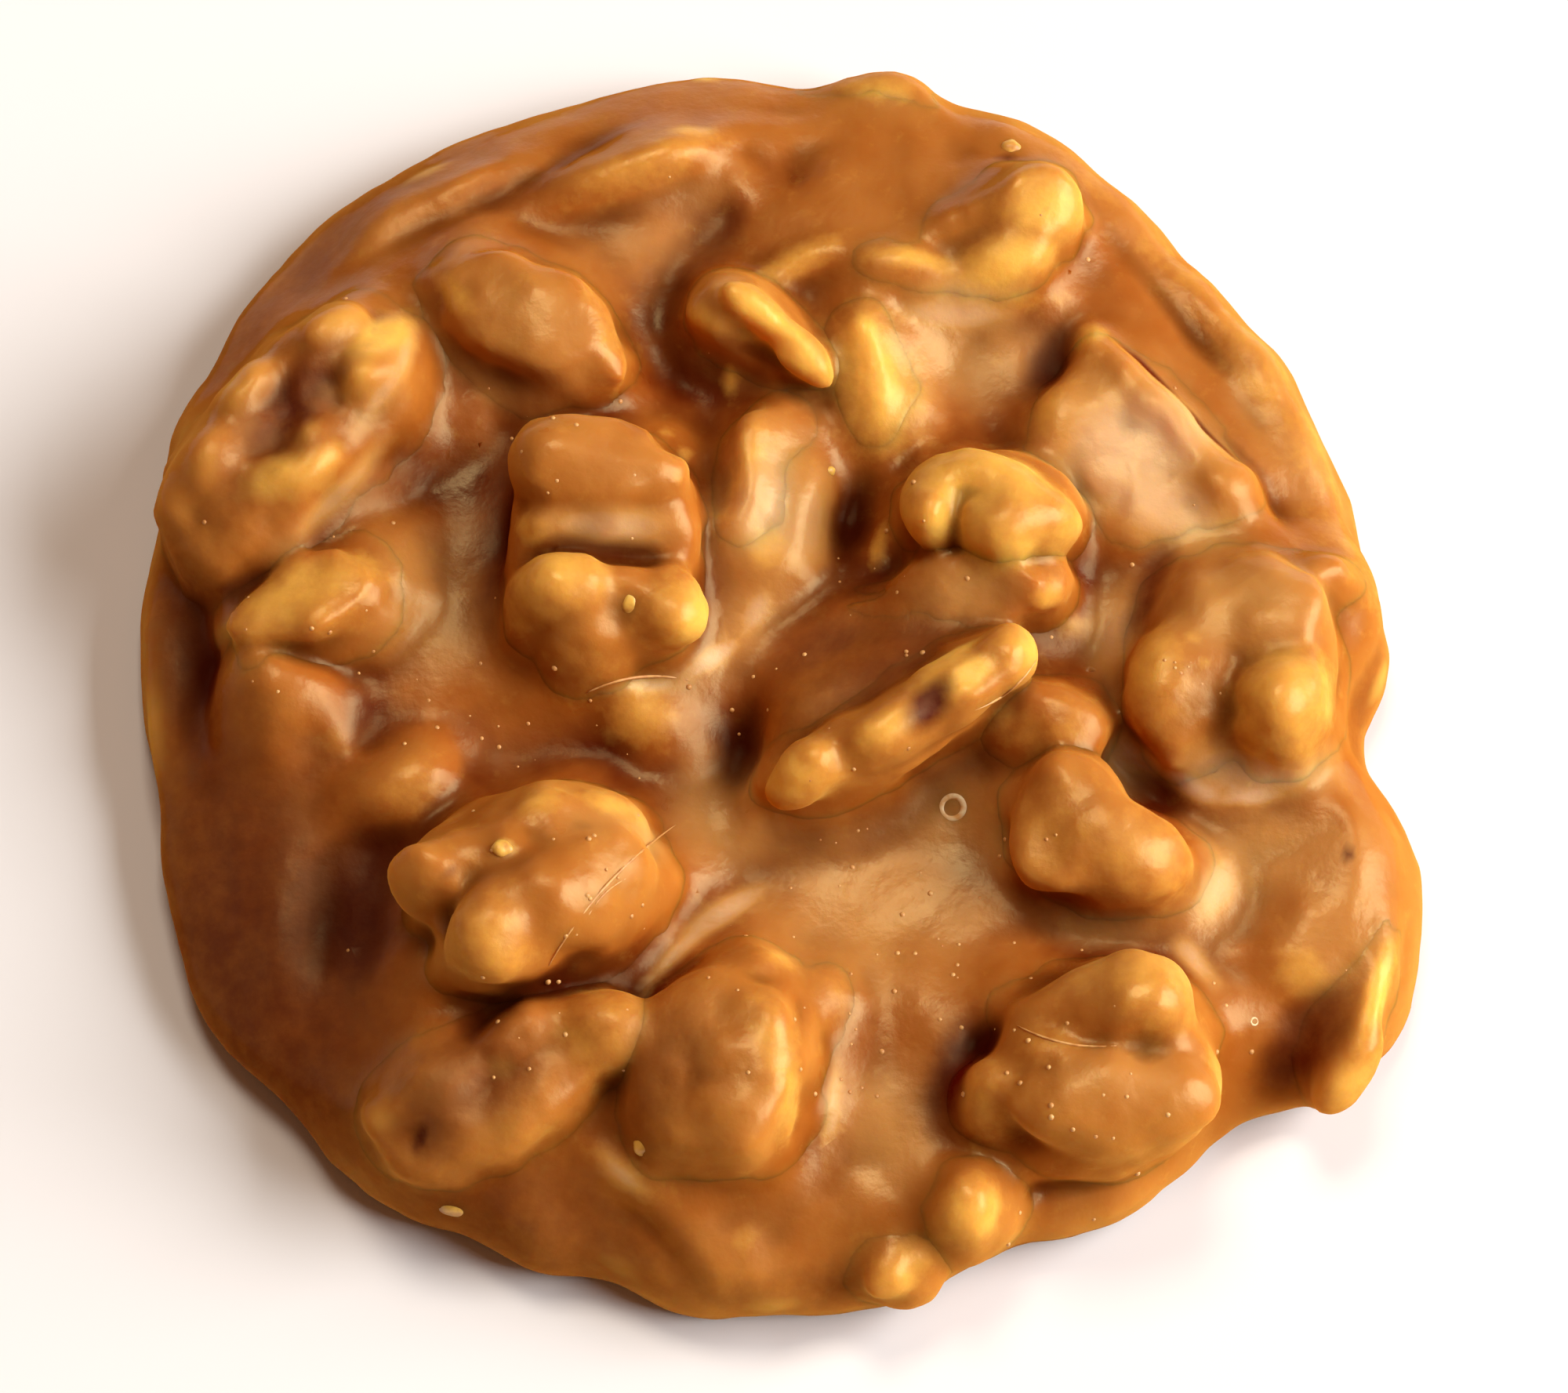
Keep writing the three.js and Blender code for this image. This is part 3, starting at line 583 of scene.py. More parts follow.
THREADS = [
    Thread((862, 1052), (700, 1232), 14, 0.10),
    Thread((800, 1120), (745, 1180), 8, 0.07),
    Thread((1297, 1308), (1424, 1334), 10, 0.09),
    Thread((1322, 842), (1236, 908), -10, 0.10),
    Thread((748, 884), (880, 868), -12, 0.10),
]


class Bubble(NamedTuple):
    """The raised rim of a burst bubble; radius in millimetres."""

    px: float
    py: float
    radius: float


BUBBLES = [
    Bubble(1215, 1030, 0.72),
    Bubble(1592, 1283, 0.26),
    Bubble(1600, 1303, 0.22),
    Bubble(1551, 1219, 0.22),
]


class Sprinkle(NamedTuple):
    """Sugar specks scattered round a photograph pixel; spread is in pixels."""

    px: float
    py: float
    spread: float
    count: int


SPRINKLES = [
    Sprinkle(1000, 900, 330, 78),
    Sprinkle(720, 590, 70, 12),
    Sprinkle(440, 800, 60, 10),
    Sprinkle(590, 920, 70, 16),
    Sprinkle(730, 1130, 70, 13),
    Sprinkle(1120, 1160, 90, 26),
    Sprinkle(1210, 1210, 70, 10),
    Sprinkle(1090, 1360, 60, 10),
    Sprinkle(1320, 1450, 70, 16),
    Sprinkle(1400, 1390, 80, 10),
    Sprinkle(1520, 835, 22, 9),
    Sprinkle(680, 1290, 60, 8),
    Sprinkle(1120, 780, 60, 12),
    Sprinkle(1590, 1270, 40, 8),
]

PECAN_NODES = sorted(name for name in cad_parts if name.startswith("pecan"))

# Grid of samples around the whole object
GRID_LOW = np.floor((np.array(cad_box[0]) - MARGIN) / VOXEL).astype(int)
GRID_HIGH = np.ceil((np.array(cad_box[1]) + MARGIN) / VOXEL).astype(int)
GRID_SHAPE = tuple(int(n) for n in GRID_HIGH - GRID_LOW + 1)
GRID_TRANSFORM = vdb.createLinearTransform(voxelSize=VOXEL)


def grid_index(low):
    """A grid place as plain numbers."""
    return tuple(int(n) for n in low)


def distance_field(vertices, triangles):
    """Signed distance to a closed mesh on the whole grid, negative inside."""
    level_set = vdb.FloatGrid.createLevelSetFromPolygons(
        vertices.astype(np.float32),
        triangles=triangles.astype(np.uint32),
        transform=GRID_TRANSFORM,
        exBandWidth=BAND / VOXEL,
        inBandWidth=BAND / VOXEL,
    )
    field = np.empty(GRID_SHAPE, np.float32)
    level_set.copyToArray(field, ijk=grid_index(GRID_LOW))
    return field


def blur(field, radius):
    """Gaussian smoothing along the three axes; radius is the standard deviation."""
    sigma = radius / VOXEL
    reach = math.ceil(BLUR_REACH * sigma)
    weights = np.exp(-0.5 * (np.arange(-reach, reach + 1) / sigma) ** 2)
    weights /= weights.sum()
    for axis in range(3):
        padding = [(0, 0)] * 3
        padding[axis] = (reach, reach)
        padded = np.moveaxis(np.pad(field, padding, mode="edge"), axis, 0)
        count = field.shape[axis]
        total = sum(np.float32(w) * padded[step : step + count] for step, w in enumerate(weights))
        field = np.moveaxis(total, 0, axis)
    return np.ascontiguousarray(field)


def smooth_min(a, b, width):
    """Union of two fields with a fillet."""
    overlap = np.maximum(width - np.abs(a - b), 0) / width
    return np.minimum(a, b) - overlap**2 * width / 4


def sample(field, points):
    """Trilinear values of a field at points in metres."""
    place = np.clip(points / VOXEL - GRID_LOW, 0, np.array(GRID_SHAPE) - LAST_CELL)
    cell = place.astype(int)
    part = place - cell
    total = np.zeros(len(points))
    for corner in np.ndindex(2, 2, 2):
        weight = np.prod(np.where(corner, part, 1 - part), axis=1)
        total += weight * field[tuple((cell + corner).T)]
    return total


def slope(field, point):
    """Unit direction in which a field grows at a point."""
    steps = np.eye(3) * SLOPE_STEP
    rise = sample(field, point + steps) - sample(field, point - steps)
    return rise / np.linalg.norm(rise)


def surface(field, low):
    """Vertices and quads of a field's zero surface; low is the grid place of its first sample."""
    grid = vdb.FloatGrid(BAND)
    grid.transform = GRID_TRANSFORM
    grid.copyFromArray(np.ascontiguousarray(field, np.float32), ijk=grid_index(low))
    vertices, quads = grid.convertToQuads()
    return vertices.astype(float), quads


def noise_at(points, size, seed):
    """Perlin noise, from -1 to 1, with features of a given size."""
    places = points / size + seed
    return np.array([noise.noise(Vector(place)) for place in places])


def noise_field(size, seed):
    """Smooth random values with unit spread on the whole grid."""
    field = blur(np.random.default_rng(seed).standard_normal(GRID_SHAPE, np.float32), size)
    return field / field.std()


def add_object(name, data):
    """A new object in the scene."""
    item = bpy.data.objects.new(name, data)
    bpy.context.scene.collection.objects.link(item)
    return item


def modified(data, kind, **settings):
    """Vertices, triangles and outward normals of a mesh after a modifier; the mesh is removed."""
    work = add_object("work", data)
    modifier = work.modifiers.new("shape", kind)
    for key, value in settings.items():
        setattr(modifier, key, value)
    shaped = work.evaluated_get(bpy.context.evaluated_depsgraph_get()).to_mesh()
    shaped.calc_loop_triangles()
    vertices = np.empty(len(shaped.vertices) * 3)
    shaped.vertices.foreach_get("co", vertices)
    normals = np.empty(len(shaped.vertices) * 3)
    shaped.vertices.foreach_get("normal", normals)
    triangles = np.empty(len(shaped.loop_triangles) * 3, int)
    shaped.loop_triangles.foreach_get("vertices", triangles)
    bpy.data.objects.remove(work)
    bpy.data.meshes.remove(data)
    return vertices.reshape(-1, 3), triangles.reshape(-1, 3), normals.reshape(-1, 3)


def node_mesh(name, subdivisions=0):
    """Vertices, triangles and outward normals of a CAD node, its shared corners merged."""
    merged = bmesh.new()
    merged.from_mesh(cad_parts[name].data)
    bmesh.ops.remove_doubles(merged, verts=merged.verts, dist=MERGE_DISTANCE)
    data = bpy.data.meshes.new("work")
    merged.to_mesh(data)
    merged.free()
    return modified(data, "SUBSURF", subdivision_type="SIMPLE", levels=subdivisions)


def kernel_field(name, number):
    """Distance field of one piece of pecan, with its lengthwise furrows."""
    vertices, triangles, normals = node_mesh(name, subdivisions=KERNEL_SUBDIVISIONS)
    middle = vertices.mean(axis=0)
    axes = np.linalg.eigh(np.cov((vertices - middle).T))[1]
    local = (vertices - middle) @ axes
    stretched = local / np.array([FURROW_WIDTH, FURROW_WIDTH, FURROW_LENGTH])
    furrows = noise_at(stretched, 1.0, FURROW_SEED * number)
    return distance_field(vertices + normals * (FURROW_DEPTH * furrows)[:, None], triangles)


def seen_point(field, px, py):
    """Where the line of sight through a photograph pixel meets a field's surface."""
    across = (px - PHOTO_WIDTH / 2) / PHOTO_WIDTH * FRAME_WIDTH
    up = (PHOTO_HEIGHT / 2 - py) / PHOTO_WIDTH * FRAME_WIDTH
    sight = CAMERA_TARGET + CAMERA_RIGHT * across + CAMERA_UP * up - CAMERA_PLACE
    heights = np.arange(SIGHT_TOP, 0, -SIGHT_STEP)
    points = CAMERA_PLACE + sight * ((heights - CAMERA_PLACE[2]) / sight[2])[:, None]
    values = sample(field, points)
    inside = np.flatnonzero(values < 0)
    return points[inside[0] if len(inside) else values.argmin()]


def apply_facet(facet):
    """Cuts a piece of pecan flat."""
    heading = math.radians(facet.heading)
    tilt = math.radians(facet.tilt)
    sideways = math.sin(tilt)
    normal = np.array((math.cos(heading) * sideways, math.sin(heading) * sideways, math.cos(tilt)))
    place = seen_point(base, facet.px, facet.py) - normal * facet.depth * MM
    steps = [
        (np.arange(count) + first) * VOXEL * n
        for count, first, n in zip(GRID_SHAPE, GRID_LOW, normal)
    ]
    beyond = steps[0][:, None, None] + steps[1][:, None] + steps[2] - place.dot(normal)
    kernels[facet.node] = -smooth_min(-kernels[facet.node], -beyond.astype(np.float32), FACET_ROUNDING)


def whole_surface():
    """Field of the candy and all the kernels together."""
    return np.minimum(candy, np.minimum.reduce(list(kernels.values())))


def detail_axes(detail, middle):
    """Directions along and across a detail, and out of the surface."""
    up = slope(base, middle)
    heading = math.radians(detail.turn)
    along = np.array((math.cos(heading), math.sin(heading), 0))
    along -= up * along.dot(up)
    along /= np.linalg.norm(along)
    return np.array((along, np.cross(up, along), up))


def detail_target(detail, middle):
    """The field that a detail shapes, and whether it is a kernel's."""
    distances = {name: sample(kernels[name], middle[None])[0] for name in PECAN_NODES}
    owner = min(distances, key=distances.get)
    if distances[owner] < OWNER_REACH and not detail.candy_only:
        return kernels[owner], True
    return candy, False


def apply_detail(detail):
    """Shapes the nearest kernel or the candy by one detail, and paints its flesh and painted light, its
    skin and painted shade, and its painted sheen.
    """
    middle = seen_point(base, detail.px, detail.py)
    reach = max(detail.length, detail.width) * WINDOW_SHARE * MM + PAINT_DEPTH
    low = np.maximum(np.floor((middle - reach) / VOXEL).astype(int) - GRID_LOW, 0)
    high = np.minimum(np.ceil((middle + reach) / VOXEL).astype(int) - GRID_LOW, GRID_SHAPE)
    window = tuple(slice(a, b) for a, b in zip(low, high))
    ranges = [np.arange(a, b) for a, b in zip(low, high)]
    cells = np.stack(np.meshgrid(*ranges, indexing="ij"), axis=-1)
    local = ((cells + GRID_LOW) * VOXEL - middle) @ detail_axes(detail, middle).T
    sides = np.array((detail.length / 2, detail.width / 2)) * MM
    rise = detail.rise * MM
    target, on_kernel = detail_target(detail, middle)
    if on_kernel and rise > 0:
        radii = np.append(sides, rise * KNOB_GAIN)
        scaled = np.linalg.norm(local / radii, axis=-1)
        steepness = np.linalg.norm(local / radii**2, axis=-1)
        knob = scaled * (scaled - 1) / np.maximum(steepness, SMALLEST_SLOPE)
        blend = min(max(KNOB_BLEND, KNOB_BLEND_SHARE * sides.min()), sides.min())
        target[window] = smooth_min(target[window], knob, blend)
    else:
        spread = np.linalg.norm(local[..., :2] / sides, axis=-1)
        target[window] -= rise * np.exp(-(spread**3) - (local[..., 2] / RELIEF_REACH) ** 2)
    depth = abs(rise) + max(PAINT_DEPTH, PAINT_DEPTH_SHARE * detail.length * MM)
    spread = np.linalg.norm(local / np.append(sides, depth), axis=-1)
    cover = np.exp(-(spread**3))
    for paint, amount in ((flesh_and_light, detail.flesh_and_light), (skin, detail.skin), (milk_and_sheen, detail.milk_and_sheen)):
        paint[window] = np.maximum(paint[window], amount * cover)


# Fields of the kernels and the candy, with their details
kernels = {
    name: blur(kernel_field(name, number), KERNEL_SOFTNESS) for number, name in enumerate(PECAN_NODES)
}
candy = distance_field(*node_mesh("candy")[:2])
base = whole_surface()
for facet in FACETS:
    apply_facet(facet)
base = whole_surface()
candy = candy + CANDY_UNEVENNESS * noise_field(CANDY_LUMP_SIZE, CANDY_SEED)
flesh_and_light = np.zeros(GRID_SHAPE, np.float32)
skin = np.zeros(GRID_SHAPE, np.float32)
milk_and_sheen = np.zeros(GRID_SHAPE, np.float32)
for detail in DETAILS:
    apply_detail(detail)
lumps = sum(depth * noise_field(size, LUMP_SEED) for depth, size in KERNEL_LUMPS)
for kernel in kernels.values():
    kernel += lumps

# The nearest and second nearest kernel, the glazed surface of the whole, and its hollows
nearest = np.full(GRID_SHAPE, BAND, np.float32)
second = nearest.copy()
for kernel in kernels.values():
    second = np.minimum(second, np.maximum(nearest, kernel))
    nearest = np.minimum(nearest, kernel)
heights = ((np.arange(GRID_SHAPE[2]) + GRID_LOW[2]) * VOXEL).astype(np.float32)
filled = smooth_min(candy, nearest - SOCKET_FILL, FILLET)
coat = COAT_THICKNESS + COAT_VARIATION * noise_field(COAT_PATCH_SIZE, COAT_SEED)
whole = smooth_min(blur(filled, COAT_SMOOTHING) - coat, nearest, KERNEL_BLEND)
hollow = blur(whole, HOLLOW_RADIUS)
crease = blur(whole, CREASE_RADIUS)
whole = np.maximum(whole, -heights)


# Sockets of a colour mix
MIX_FACTOR = 0
MIX_FIRST = 6
MIX_SECOND = 7
MIX_RESULT = 2


class Nodes:
    """Builds a material's node tree."""

    def __init__(self, name):
        self.material = bpy.data.materials.new(name)
        self.material.use_nodes = True
        self.tree = self.material.node_tree
        self.shader = self.tree.nodes["Principled BSDF"]

    def set(self, node, inputs):
        """Links or sets a node's inputs."""
        for key, value in inputs.items():
            socket = node.inputs[key]
            if isinstance(value, bpy.types.NodeSocket):
                self.tree.links.new(value, socket)
            else:
                socket.default_value = value

    def add(self, kind, inputs=None, output=0, **settings):
        """One output of a new node."""
        node = self.tree.nodes.new("ShaderNode" + kind)
        for key, value in settings.items():
            setattr(node, key, value)
        self.set(node, inputs or {})
        return node.outputs[output]

    def centred(self, pattern):
        """A noise pattern moved to lie about zero."""
        return self.add("Math", {0: pattern, 1: -0.5}, operation="ADD")

    def scaled(self, value, factor, offset):
        """A value times a factor, plus an offset."""
        return self.add("Math", {0: value, 1: factor, 2: offset}, operation="MULTIPLY_ADD")

    def product(self, a, b):
        return self.add("Math", {0: a, 1: b}, operation="MULTIPLY")

    def mapped(self, value, low, high, to_low=0.0, to_high=1.0):
        """A value taken from one range to another, and held at its ends."""
        ends = {"From Min": low, "From Max": high, "To Min": to_low, "To Max": to_high}
        return self.add("MapRange", {"Value": value, **ends})

    def ramp(self, value, stops):
        """A colour ramp with stops of a position and a colour."""
        output = self.add("ValToRGB", {"Fac": value})
        elements = output.node.color_ramp.elements
        while len(elements) < len(stops):
            elements.new(1.0)
        for element, (position, color) in zip(elements, stops):
            element.position = position
            element.color = color
        return output

    def mix(self, factor, first, second):
        """Two colours mixed."""
        inputs = {MIX_FACTOR: factor, MIX_FIRST: first, MIX_SECOND: second}
        return self.add("Mix", inputs, MIX_RESULT, data_type="RGBA")


def srgb(red, green, blue):
    """A linear colour from 8-bit screen values."""
    def linear(value):
        value /= 255
        return value / 12.92 if value <= 0.04045 else ((value + 0.055) / 1.055) ** 2.4

    return (linear(red), linear(green), linear(blue), 1.0)


FLESH = srgb(240, 185, 82)
MILK_SHEEN = srgb(202, 144, 74)
CREAM_SHEEN = srgb(220, 178, 134)
GOLD = srgb(214, 146, 48)
HONEY = srgb(188, 122, 50)
CARAMEL = srgb(164, 90, 27)
TOFFEE = srgb(118, 42, 7)
SHADE_MAROON = srgb(58, 10, 2)
SKIN_AND_SHADE = srgb(92, 19, 5)
SUGAR = srgb(222, 170, 100)
SUGAR_TAN = srgb(196, 132, 66)
FROTH = srgb(240, 222, 176)


def glaze_material(name):
    """Caramel over kernel: golden on ridges and thin places; darker and redder in hollows and creases,
    partly pooled caramel and partly painted shade; with painted sheen and highlights, and painted shade
    by the rim's foot.
    """
    n = Nodes(name)
    film, hollows, creases, pale, brown_and_shade, milky_sheen, open_top = (
        n.add("Attribute", attribute_name=key, output="Fac")
        for key in ("film", "hollow", "crease", "flesh_and_light", "skin", "milk_and_sheen", "open")
    )
    coordinates = n.add("TexCoord", output="Object")
    # Caramel by how deep it lies and how thin the coat is; the dark end in hollows is partly painted
    # shade
    uneven = n.centred(n.add("TexNoise", {"Vector": coordinates, "Scale": 260.0, "Detail": 3.0}))
    level = n.mapped(n.scaled(uneven, 1.3, hollows), -1.6, 1.0)
    color = n.ramp(level, [(0.0, SHADE_MAROON), (0.3, TOFFEE), (0.55, CARAMEL), (1.0, HONEY)])
    color = n.mix(n.mapped(film, 0.5, 0.0, to_high=0.25), color, HONEY)
    # Painted sheen as milky and creamy caramel, bare flesh that is in places painted light, and brown
    # skin that is also painted shade
    cloud = n.scaled(uneven, 0.4, milky_sheen)
    color = n.mix(n.mapped(cloud, 0.1, 1.0), color, MILK_SHEEN)
    color = n.mix(n.mapped(cloud, 0.9, 2.0), color, CREAM_SHEEN)
    flakes = {"Vector": coordinates, "Scale": 700.0, "Detail": 4.0, "Roughness": 0.65}
    ragged = n.centred(n.add("TexNoise", flakes))
    color = n.mix(n.mapped(n.scaled(ragged, 0.6, pale), 0.05, 0.8), color, FLESH)
    color = n.mix(n.mapped(n.scaled(ragged, 0.5, brown_and_shade), 0.15, 0.95), color, SKIN_AND_SHADE)
    # Golden ridges, painted shade in creases and painted shade at the foot of the rim
    color = n.mix(n.mapped(creases, 0.2, 0.6, to_high=0.2), color, GOLD)
    color = n.mix(n.mapped(creases, -0.03, -0.3, to_high=0.8), color, SHADE_MAROON)
    height = n.add("SeparateXYZ", {"Vector": coordinates}, output="Z")
    color = n.mix(n.mapped(height, RIM_DARK_TOP, 0.0, to_high=0.7), color, SHADE_MAROON)
    # Gloss, less of it on skin and its painted shade, in hollows and creases and on steep or low sides
    dull = n.scaled(uneven, 0.3, n.mapped(brown_and_shade, 0.0, 1.0, 0.33, 0.57))
    shine = n.product(n.mapped(hollows, -1.2, -0.3, 0.12, 0.58), open_top)
    shine = n.product(shine, n.mapped(creases, -0.3, -0.05, to_low=0.15))
    fine = n.add("TexNoise", {"Vector": coordinates, "Scale": 1500.0, "Detail": 4.0})
    bump = n.add("Bump", {"Height": fine, "Strength": 0.14, "Distance": 0.0003})
    n.set(n.shader, {
        "Base Color": color,
        "Roughness": dull,
        "Specular IOR Level": shine,
        "Specular Tint": (1.0, 0.86, 0.46, 1.0),
        "Normal": bump,
        "Subsurface Weight": 0.7,
        "Subsurface Radius": (1.0, 0.35, 0.1),
        "Subsurface Scale": 0.0025,
    })
    return n.material


GLAZE = glaze_material("caramel_glaze")


def flatten_underside(data):
    """Makes the flat underside a single, flat-shaded face."""
    mesh = bmesh.new()
    mesh.from_mesh(data)
    low = UNDERSIDE_TOLERANCE
    under = [face for face in mesh.faces if all(abs(v.co.z) < low for v in face.verts)]
    bmesh.ops.dissolve_faces(mesh, faces=under, use_verts=True)
    for face in mesh.faces:
        face.smooth = len(face.verts) <= 4
    mesh.to_mesh(data)
    mesh.free()


def add_piece(name, field, low, nodes):
    """A closed mesh of a field's surface, riding on the body in place of its nodes."""
    vertices, faces = surface(field, low)
    if 2 * len(faces) > TRIANGLE_LIMIT:
        dense = bpy.data.meshes.new("work")
        dense.from_pydata(vertices.tolist(), [], faces.tolist())
        vertices, faces, _ = modified(dense, "DECIMATE", ratio=TRIANGLE_LIMIT / (2 * len(faces)))
    data = bpy.data.meshes.new(name)
    data.from_pydata(vertices.tolist(), [], faces.tolist())
    normals = np.empty(len(vertices) * 3)
    data.vertices.foreach_get("normal", normals)
    normals = normals.reshape(-1, 3)
    upright = np.clip((normals[:, 2] - OPEN_LOW) / OPEN_SPAN, 0, 1)
    raised = np.clip(vertices[:, 2] / OPEN_TOP, 0, 1)
    masks = {
        "film": sample(nearest, vertices) / MM,
        "hollow": sample(hollow, vertices) / MM,
        "crease": sample(crease, vertices) / MM,
        "flesh_and_light": sample(flesh_and_light, vertices),
        "skin": sample(skin, vertices),
        "milk_and_sheen": sample(milk_and_sheen, vertices),
        "open": upright * raised,
    }
    for attribute, values in masks.items():
        layer = data.attributes.new(attribute, "FLOAT", "POINT")
        layer.data.foreach_set("value", values.astype(np.float32))
    ripple = sum(depth * noise_at(vertices, size, RIPPLE_SEED) for depth, size in RIPPLES)
    ripple *= np.clip(vertices[:, 2] / RIPPLE_FADE, 0, 1)
    data.vertices.foreach_set("co", (vertices + normals * ripple[:, None]).ravel())
    data.shade_smooth()
    data.materials.append(GLAZE)
    piece = add_object(name, data)
    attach(piece, "root")
    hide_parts(*nodes)
    return piece


def add_candy():
    """The candy: the whole surface, a little lower under the pieces of pecan."""
    sunk = SEAM_DEPTH * np.clip((SEAM - nearest) / SEAM_WIDTH, 0, 1)
    field = np.maximum(whole + sunk, -heights)
    piece = add_piece("candy_body", field, GRID_LOW, ["candy"])
    flatten_underside(piece.data)


def add_pecan(name):
    """A glazed piece: the whole surface near one kernel.

    At its edge it dips under the candy or the next piece.
    """
    own = kernels[name]
    others = np.where(own > nearest, nearest, second)
    edge = np.maximum(own, SEAM + own - others)
    field = np.maximum(whole + SEAM_DEPTH * np.maximum(edge - SEAM, 0) / SEAM_WIDTH, edge - SEAM_END)
    inside = np.argwhere(field < VOXEL)
    low = inside.min(axis=0) - 2
    high = inside.max(axis=0) + 3
    window = tuple(slice(a, b) for a, b in zip(low, high))
    add_piece(name + "_glazed", field[window], GRID_LOW + low, [name])


def crumb_material():
    """Bare kernel, mottled from honey to pale."""
    n = Nodes("crumb")
    coordinates = n.add("TexCoord", output="Object")
    patches = n.add("TexNoise", {"Vector": coordinates, "Scale": 1100.0, "Detail": 3.0})
    n.set(n.shader, {
        "Base Color": n.ramp(patches, [(0.3, HONEY), (0.6, FLESH)]),
        "Roughness": 0.4,
        "Subsurface Weight": 0.3,
        "Subsurface Radius": (1.0, 0.4, 0.1),
        "Subsurface Scale": 0.001,
    })
    return n.material


def speck_material(name, dark=SUGAR_TAN, light=SUGAR):
    """Set sugar, mottled between two colours."""
    n = Nodes(name)
    coordinates = n.add("TexCoord", output="Object")
    patches = n.add("TexNoise", {"Vector": coordinates, "Scale": 1800.0})
    n.set(n.shader, {
        "Base Color": n.ramp(patches, [(0.35, dark), (0.65, light)]),
        "Roughness": 0.4,
    })
    return n.material


def add_scatter(name, mesh, material):
    """One joined piece of scattered things, riding on the body."""
    data = bpy.data.meshes.new(name)
    mesh.to_mesh(data)
    mesh.free()
    data.shade_smooth()
    data.materials.append(material)
    piece = add_object(name, data)
    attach(piece, "root")


def surface_place(px, py, turn=0.0, sink=0.0):
    """Matrix of a thing lying on the surface at a photograph pixel, its x axis at a heading."""
    place = seen_point(whole, px, py)
    up = Vector(slope(whole, place))
    heading = math.radians(turn)
    side = up.cross(Vector((math.cos(heading), math.sin(heading), 0))).normalized()
    rotation = Matrix((side.cross(up), side, up)).transposed().to_4x4()
    return Matrix.Translation(Vector(place) - up * sink) @ rotation


def add_crumbs():
    """Loose bits of kernel partly sunk in the surface, as one piece."""
    mesh = bmesh.new()
    for crumb in CRUMBS:
        radii = [size * MM / 2 for size in (crumb.length, crumb.width, crumb.height)]
        at = surface_place(crumb.px, crumb.py, crumb.turn, sink=CRUMB_SINK * radii[2])
        shift = Vector((crumb.px, crumb.py, 0)) * CRUMB_SEED
        ball = bmesh.ops.create_icosphere(mesh, subdivisions=3, radius=1.0)["verts"]
        for vertex in ball:
            knob = 1 + CRUMB_KNOBS * noise.noise(vertex.co * CRUMB_KNOB_SCALE + shift)
            vertex.co = at @ Vector(knob * c * radius for c, radius in zip(vertex.co, radii))
    add_scatter("pecan_crumbs", mesh, crumb_material())


def bridge(mesh, ring, following):
    """Quads between two rings of vertices."""
    count = len(ring)
    for corner in range(count):
        after = (corner + 1) % count
        mesh.faces.new((ring[corner], ring[after], following[after], following[corner]))


def thread_path(thread):
    """Places along a thread, each on the surface; its bow is a parabola."""
    start = np.array(thread.start, float)
    end = np.array(thread.end, float)
    aside = np.array((start[1] - end[1], end[0] - start[0])) / np.linalg.norm(end - start)
    path = []
    for t in np.linspace(0, 1, THREAD_STEPS):
        pixel = start + (end - start) * t + aside * thread.bow * 4 * t * (1 - t)
        path.append(surface_place(*pixel))
    return path


def add_threads():
    """Threads of glaze that taper to both ends, as one piece."""
    mesh = bmesh.new()
    angles = [2 * math.pi * corner / THREAD_SIDES for corner in range(THREAD_SIDES)]
    for thread in THREADS:
        path = thread_path(thread)
        rings = []
        for step, at in enumerate(path):
            before = path[max(step - 1, 0)].translation
            after = path[min(step + 1, THREAD_STEPS - 1)].translation
            along = (after - before).normalized()
            out = at.col[2].xyz
            up = (out - along * along.dot(out)).normalized()
            side = along.cross(up)
            taper = math.sqrt(math.sin(math.pi * (step + 0.5) / THREAD_STEPS))
            radius = thread.radius * MM * taper
            around = [(up * math.cos(angle) + side * math.sin(angle)) * radius for angle in angles]
            rings.append([mesh.verts.new(at.translation + offset) for offset in around])
        for ring, following in zip(rings, rings[1:]):
            bridge(mesh, ring, following)
        mesh.faces.new(rings[0][::-1])
        mesh.faces.new(rings[-1])
    bmesh.ops.recalc_face_normals(mesh, faces=mesh.faces)
    add_scatter("glaze_threads", mesh, speck_material("glaze_thread"))


def add_bubbles():
    """Raised rims of burst bubbles, as one piece."""
    mesh = bmesh.new()
    for bubble in BUBBLES:
        at = surface_place(bubble.px, bubble.py)
        radius = bubble.radius * MM
        rings = []
        for step in range(BUBBLE_STEPS):
            turn = 2 * math.pi * step / BUBBLE_STEPS
            out = Vector((math.cos(turn), math.sin(turn), 0))
            ring = []
            for corner in range(BUBBLE_SIDES):
                angle = 2 * math.pi * corner / BUBBLE_SIDES
                tube = out * math.cos(angle) + Vector((0, 0, BUBBLE_HEIGHT * math.sin(angle)))
                ring.append(mesh.verts.new(at @ (out * radius + tube * radius * BUBBLE_RIM)))
            rings.append(ring)
        for ring, following in zip(rings, rings[1:] + rings[:1]):
            bridge(mesh, ring, following)
    bmesh.ops.recalc_face_normals(mesh, faces=mesh.faces)
    add_scatter("bubble_rims", mesh, speck_material("bubble_rim", SUGAR, FROTH))


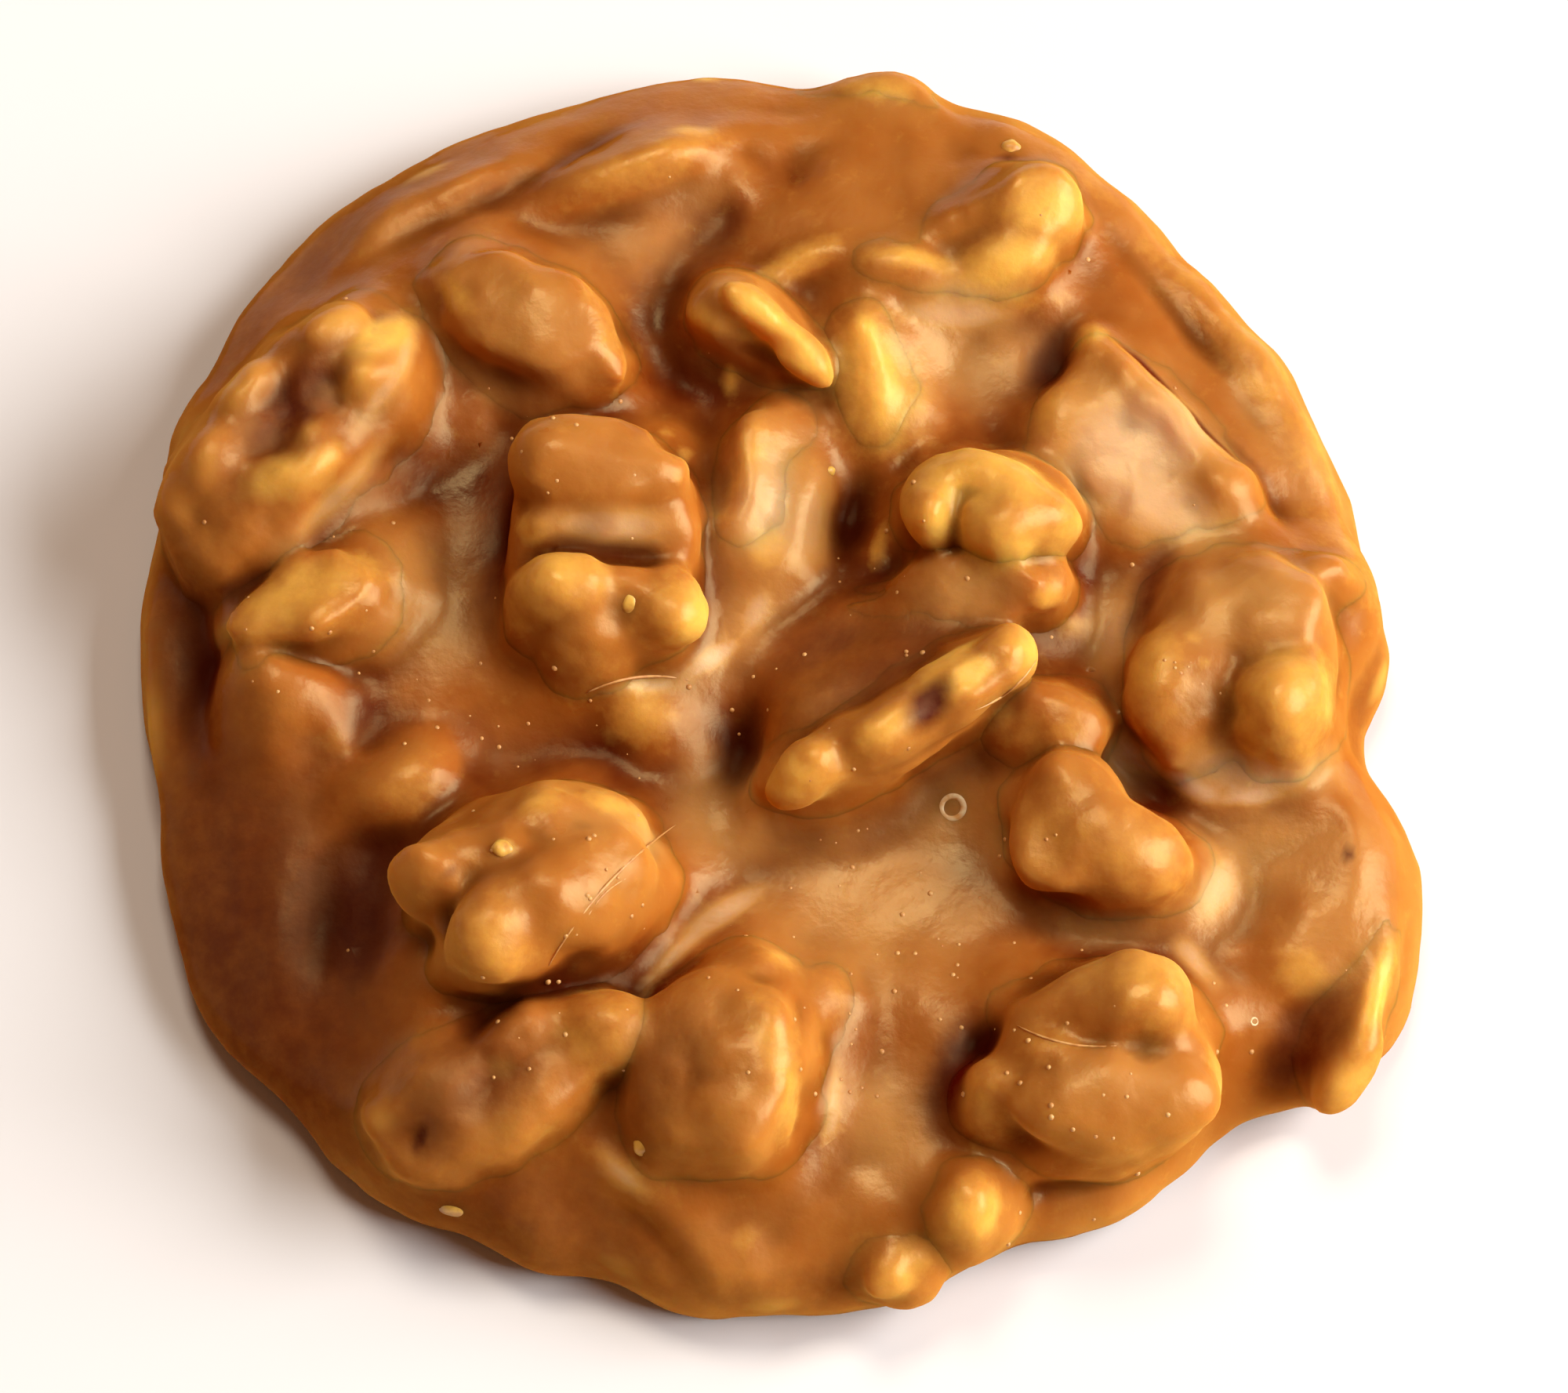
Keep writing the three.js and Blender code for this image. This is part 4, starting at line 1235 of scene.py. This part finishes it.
def add_specks():
    """Sugar specks partly sunk in the surface, as one piece."""
    random = np.random.default_rng(SPECK_SEED)
    specks = bmesh.new()
    for sprinkle in SPRINKLES:
        for _ in range(sprinkle.count):
            place = seen_point(whole, *random.normal((sprinkle.px, sprinkle.py), sprinkle.spread))
            radius = random.uniform(*SPECK_RADIUS)
            if sample(whole, place[None])[0] < VOXEL:
                at = Matrix.Translation(place - slope(whole, place) * radius * SPECK_SINK)
                bmesh.ops.create_icosphere(specks, subdivisions=2, radius=radius, matrix=at)
    add_scatter("sugar_specks", specks, speck_material("sugar"))


add_candy()
for name in PECAN_NODES:
    add_pecan(name)
add_specks()
add_crumbs()
add_threads()
add_bubbles()


# Stage, light and camera
def add_floor():
    signs = [(-1, -1), (1, -1), (1, 1), (-1, 1)]
    data = bpy.data.meshes.new("floor")
    data.from_pydata([(x * FLOOR_HALF, y * FLOOR_HALF, 0) for x, y in signs], [], [(0, 1, 2, 3)])
    n = Nodes("floor_white")
    n.set(n.shader, {"Base Color": (0.9, 0.9, 0.9, 1), "Roughness": 0.9})
    data.materials.append(n.material)
    floor = add_object("floor", data)


def add_light(name, azimuth, elevation, distance, size, power, color):
    data = bpy.data.lights.new(name, "AREA")
    data.size = size
    data.energy = power
    data.color = color
    light = add_object(name, data)
    turn = math.radians(azimuth)
    tilt = math.radians(elevation)
    level = math.cos(tilt)
    direction = Vector((math.cos(turn) * level, math.sin(turn) * level, math.sin(tilt)))
    light.location = direction * distance
    light.rotation_euler = direction.to_track_quat("Z", "Y").to_euler()


def add_camera():
    data = bpy.data.cameras.new("camera")
    data.sensor_width = SENSOR_WIDTH
    data.lens = SENSOR_WIDTH * CAMERA_DISTANCE / FRAME_WIDTH
    camera = add_object("camera", data)
    camera.location = CAMERA_PLACE
    camera.rotation_euler = Vector(CAMERA_BACK).to_track_quat("Z", "Y").to_euler()
    bpy.context.scene.camera = camera


def set_world(color, strength):
    world = bpy.data.worlds.new("studio")
    world.use_nodes = True
    background = world.node_tree.nodes["Background"]
    background.inputs["Color"].default_value = (*color, 1)
    background.inputs["Strength"].default_value = strength
    bpy.context.scene.world = world


add_floor()
add_light("key", azimuth=0, elevation=33, distance=1.5, size=1.2, power=41.0, color=(1, 1, 1))
add_light("top", azimuth=95, elevation=68, distance=1.5, size=0.45, power=7.8, color=(1, 0.86, 0.7))
add_camera()
set_world(color=(1.0, 0.45, 0.22), strength=0.14)
bpy.context.scene.view_settings.view_transform = "Standard"
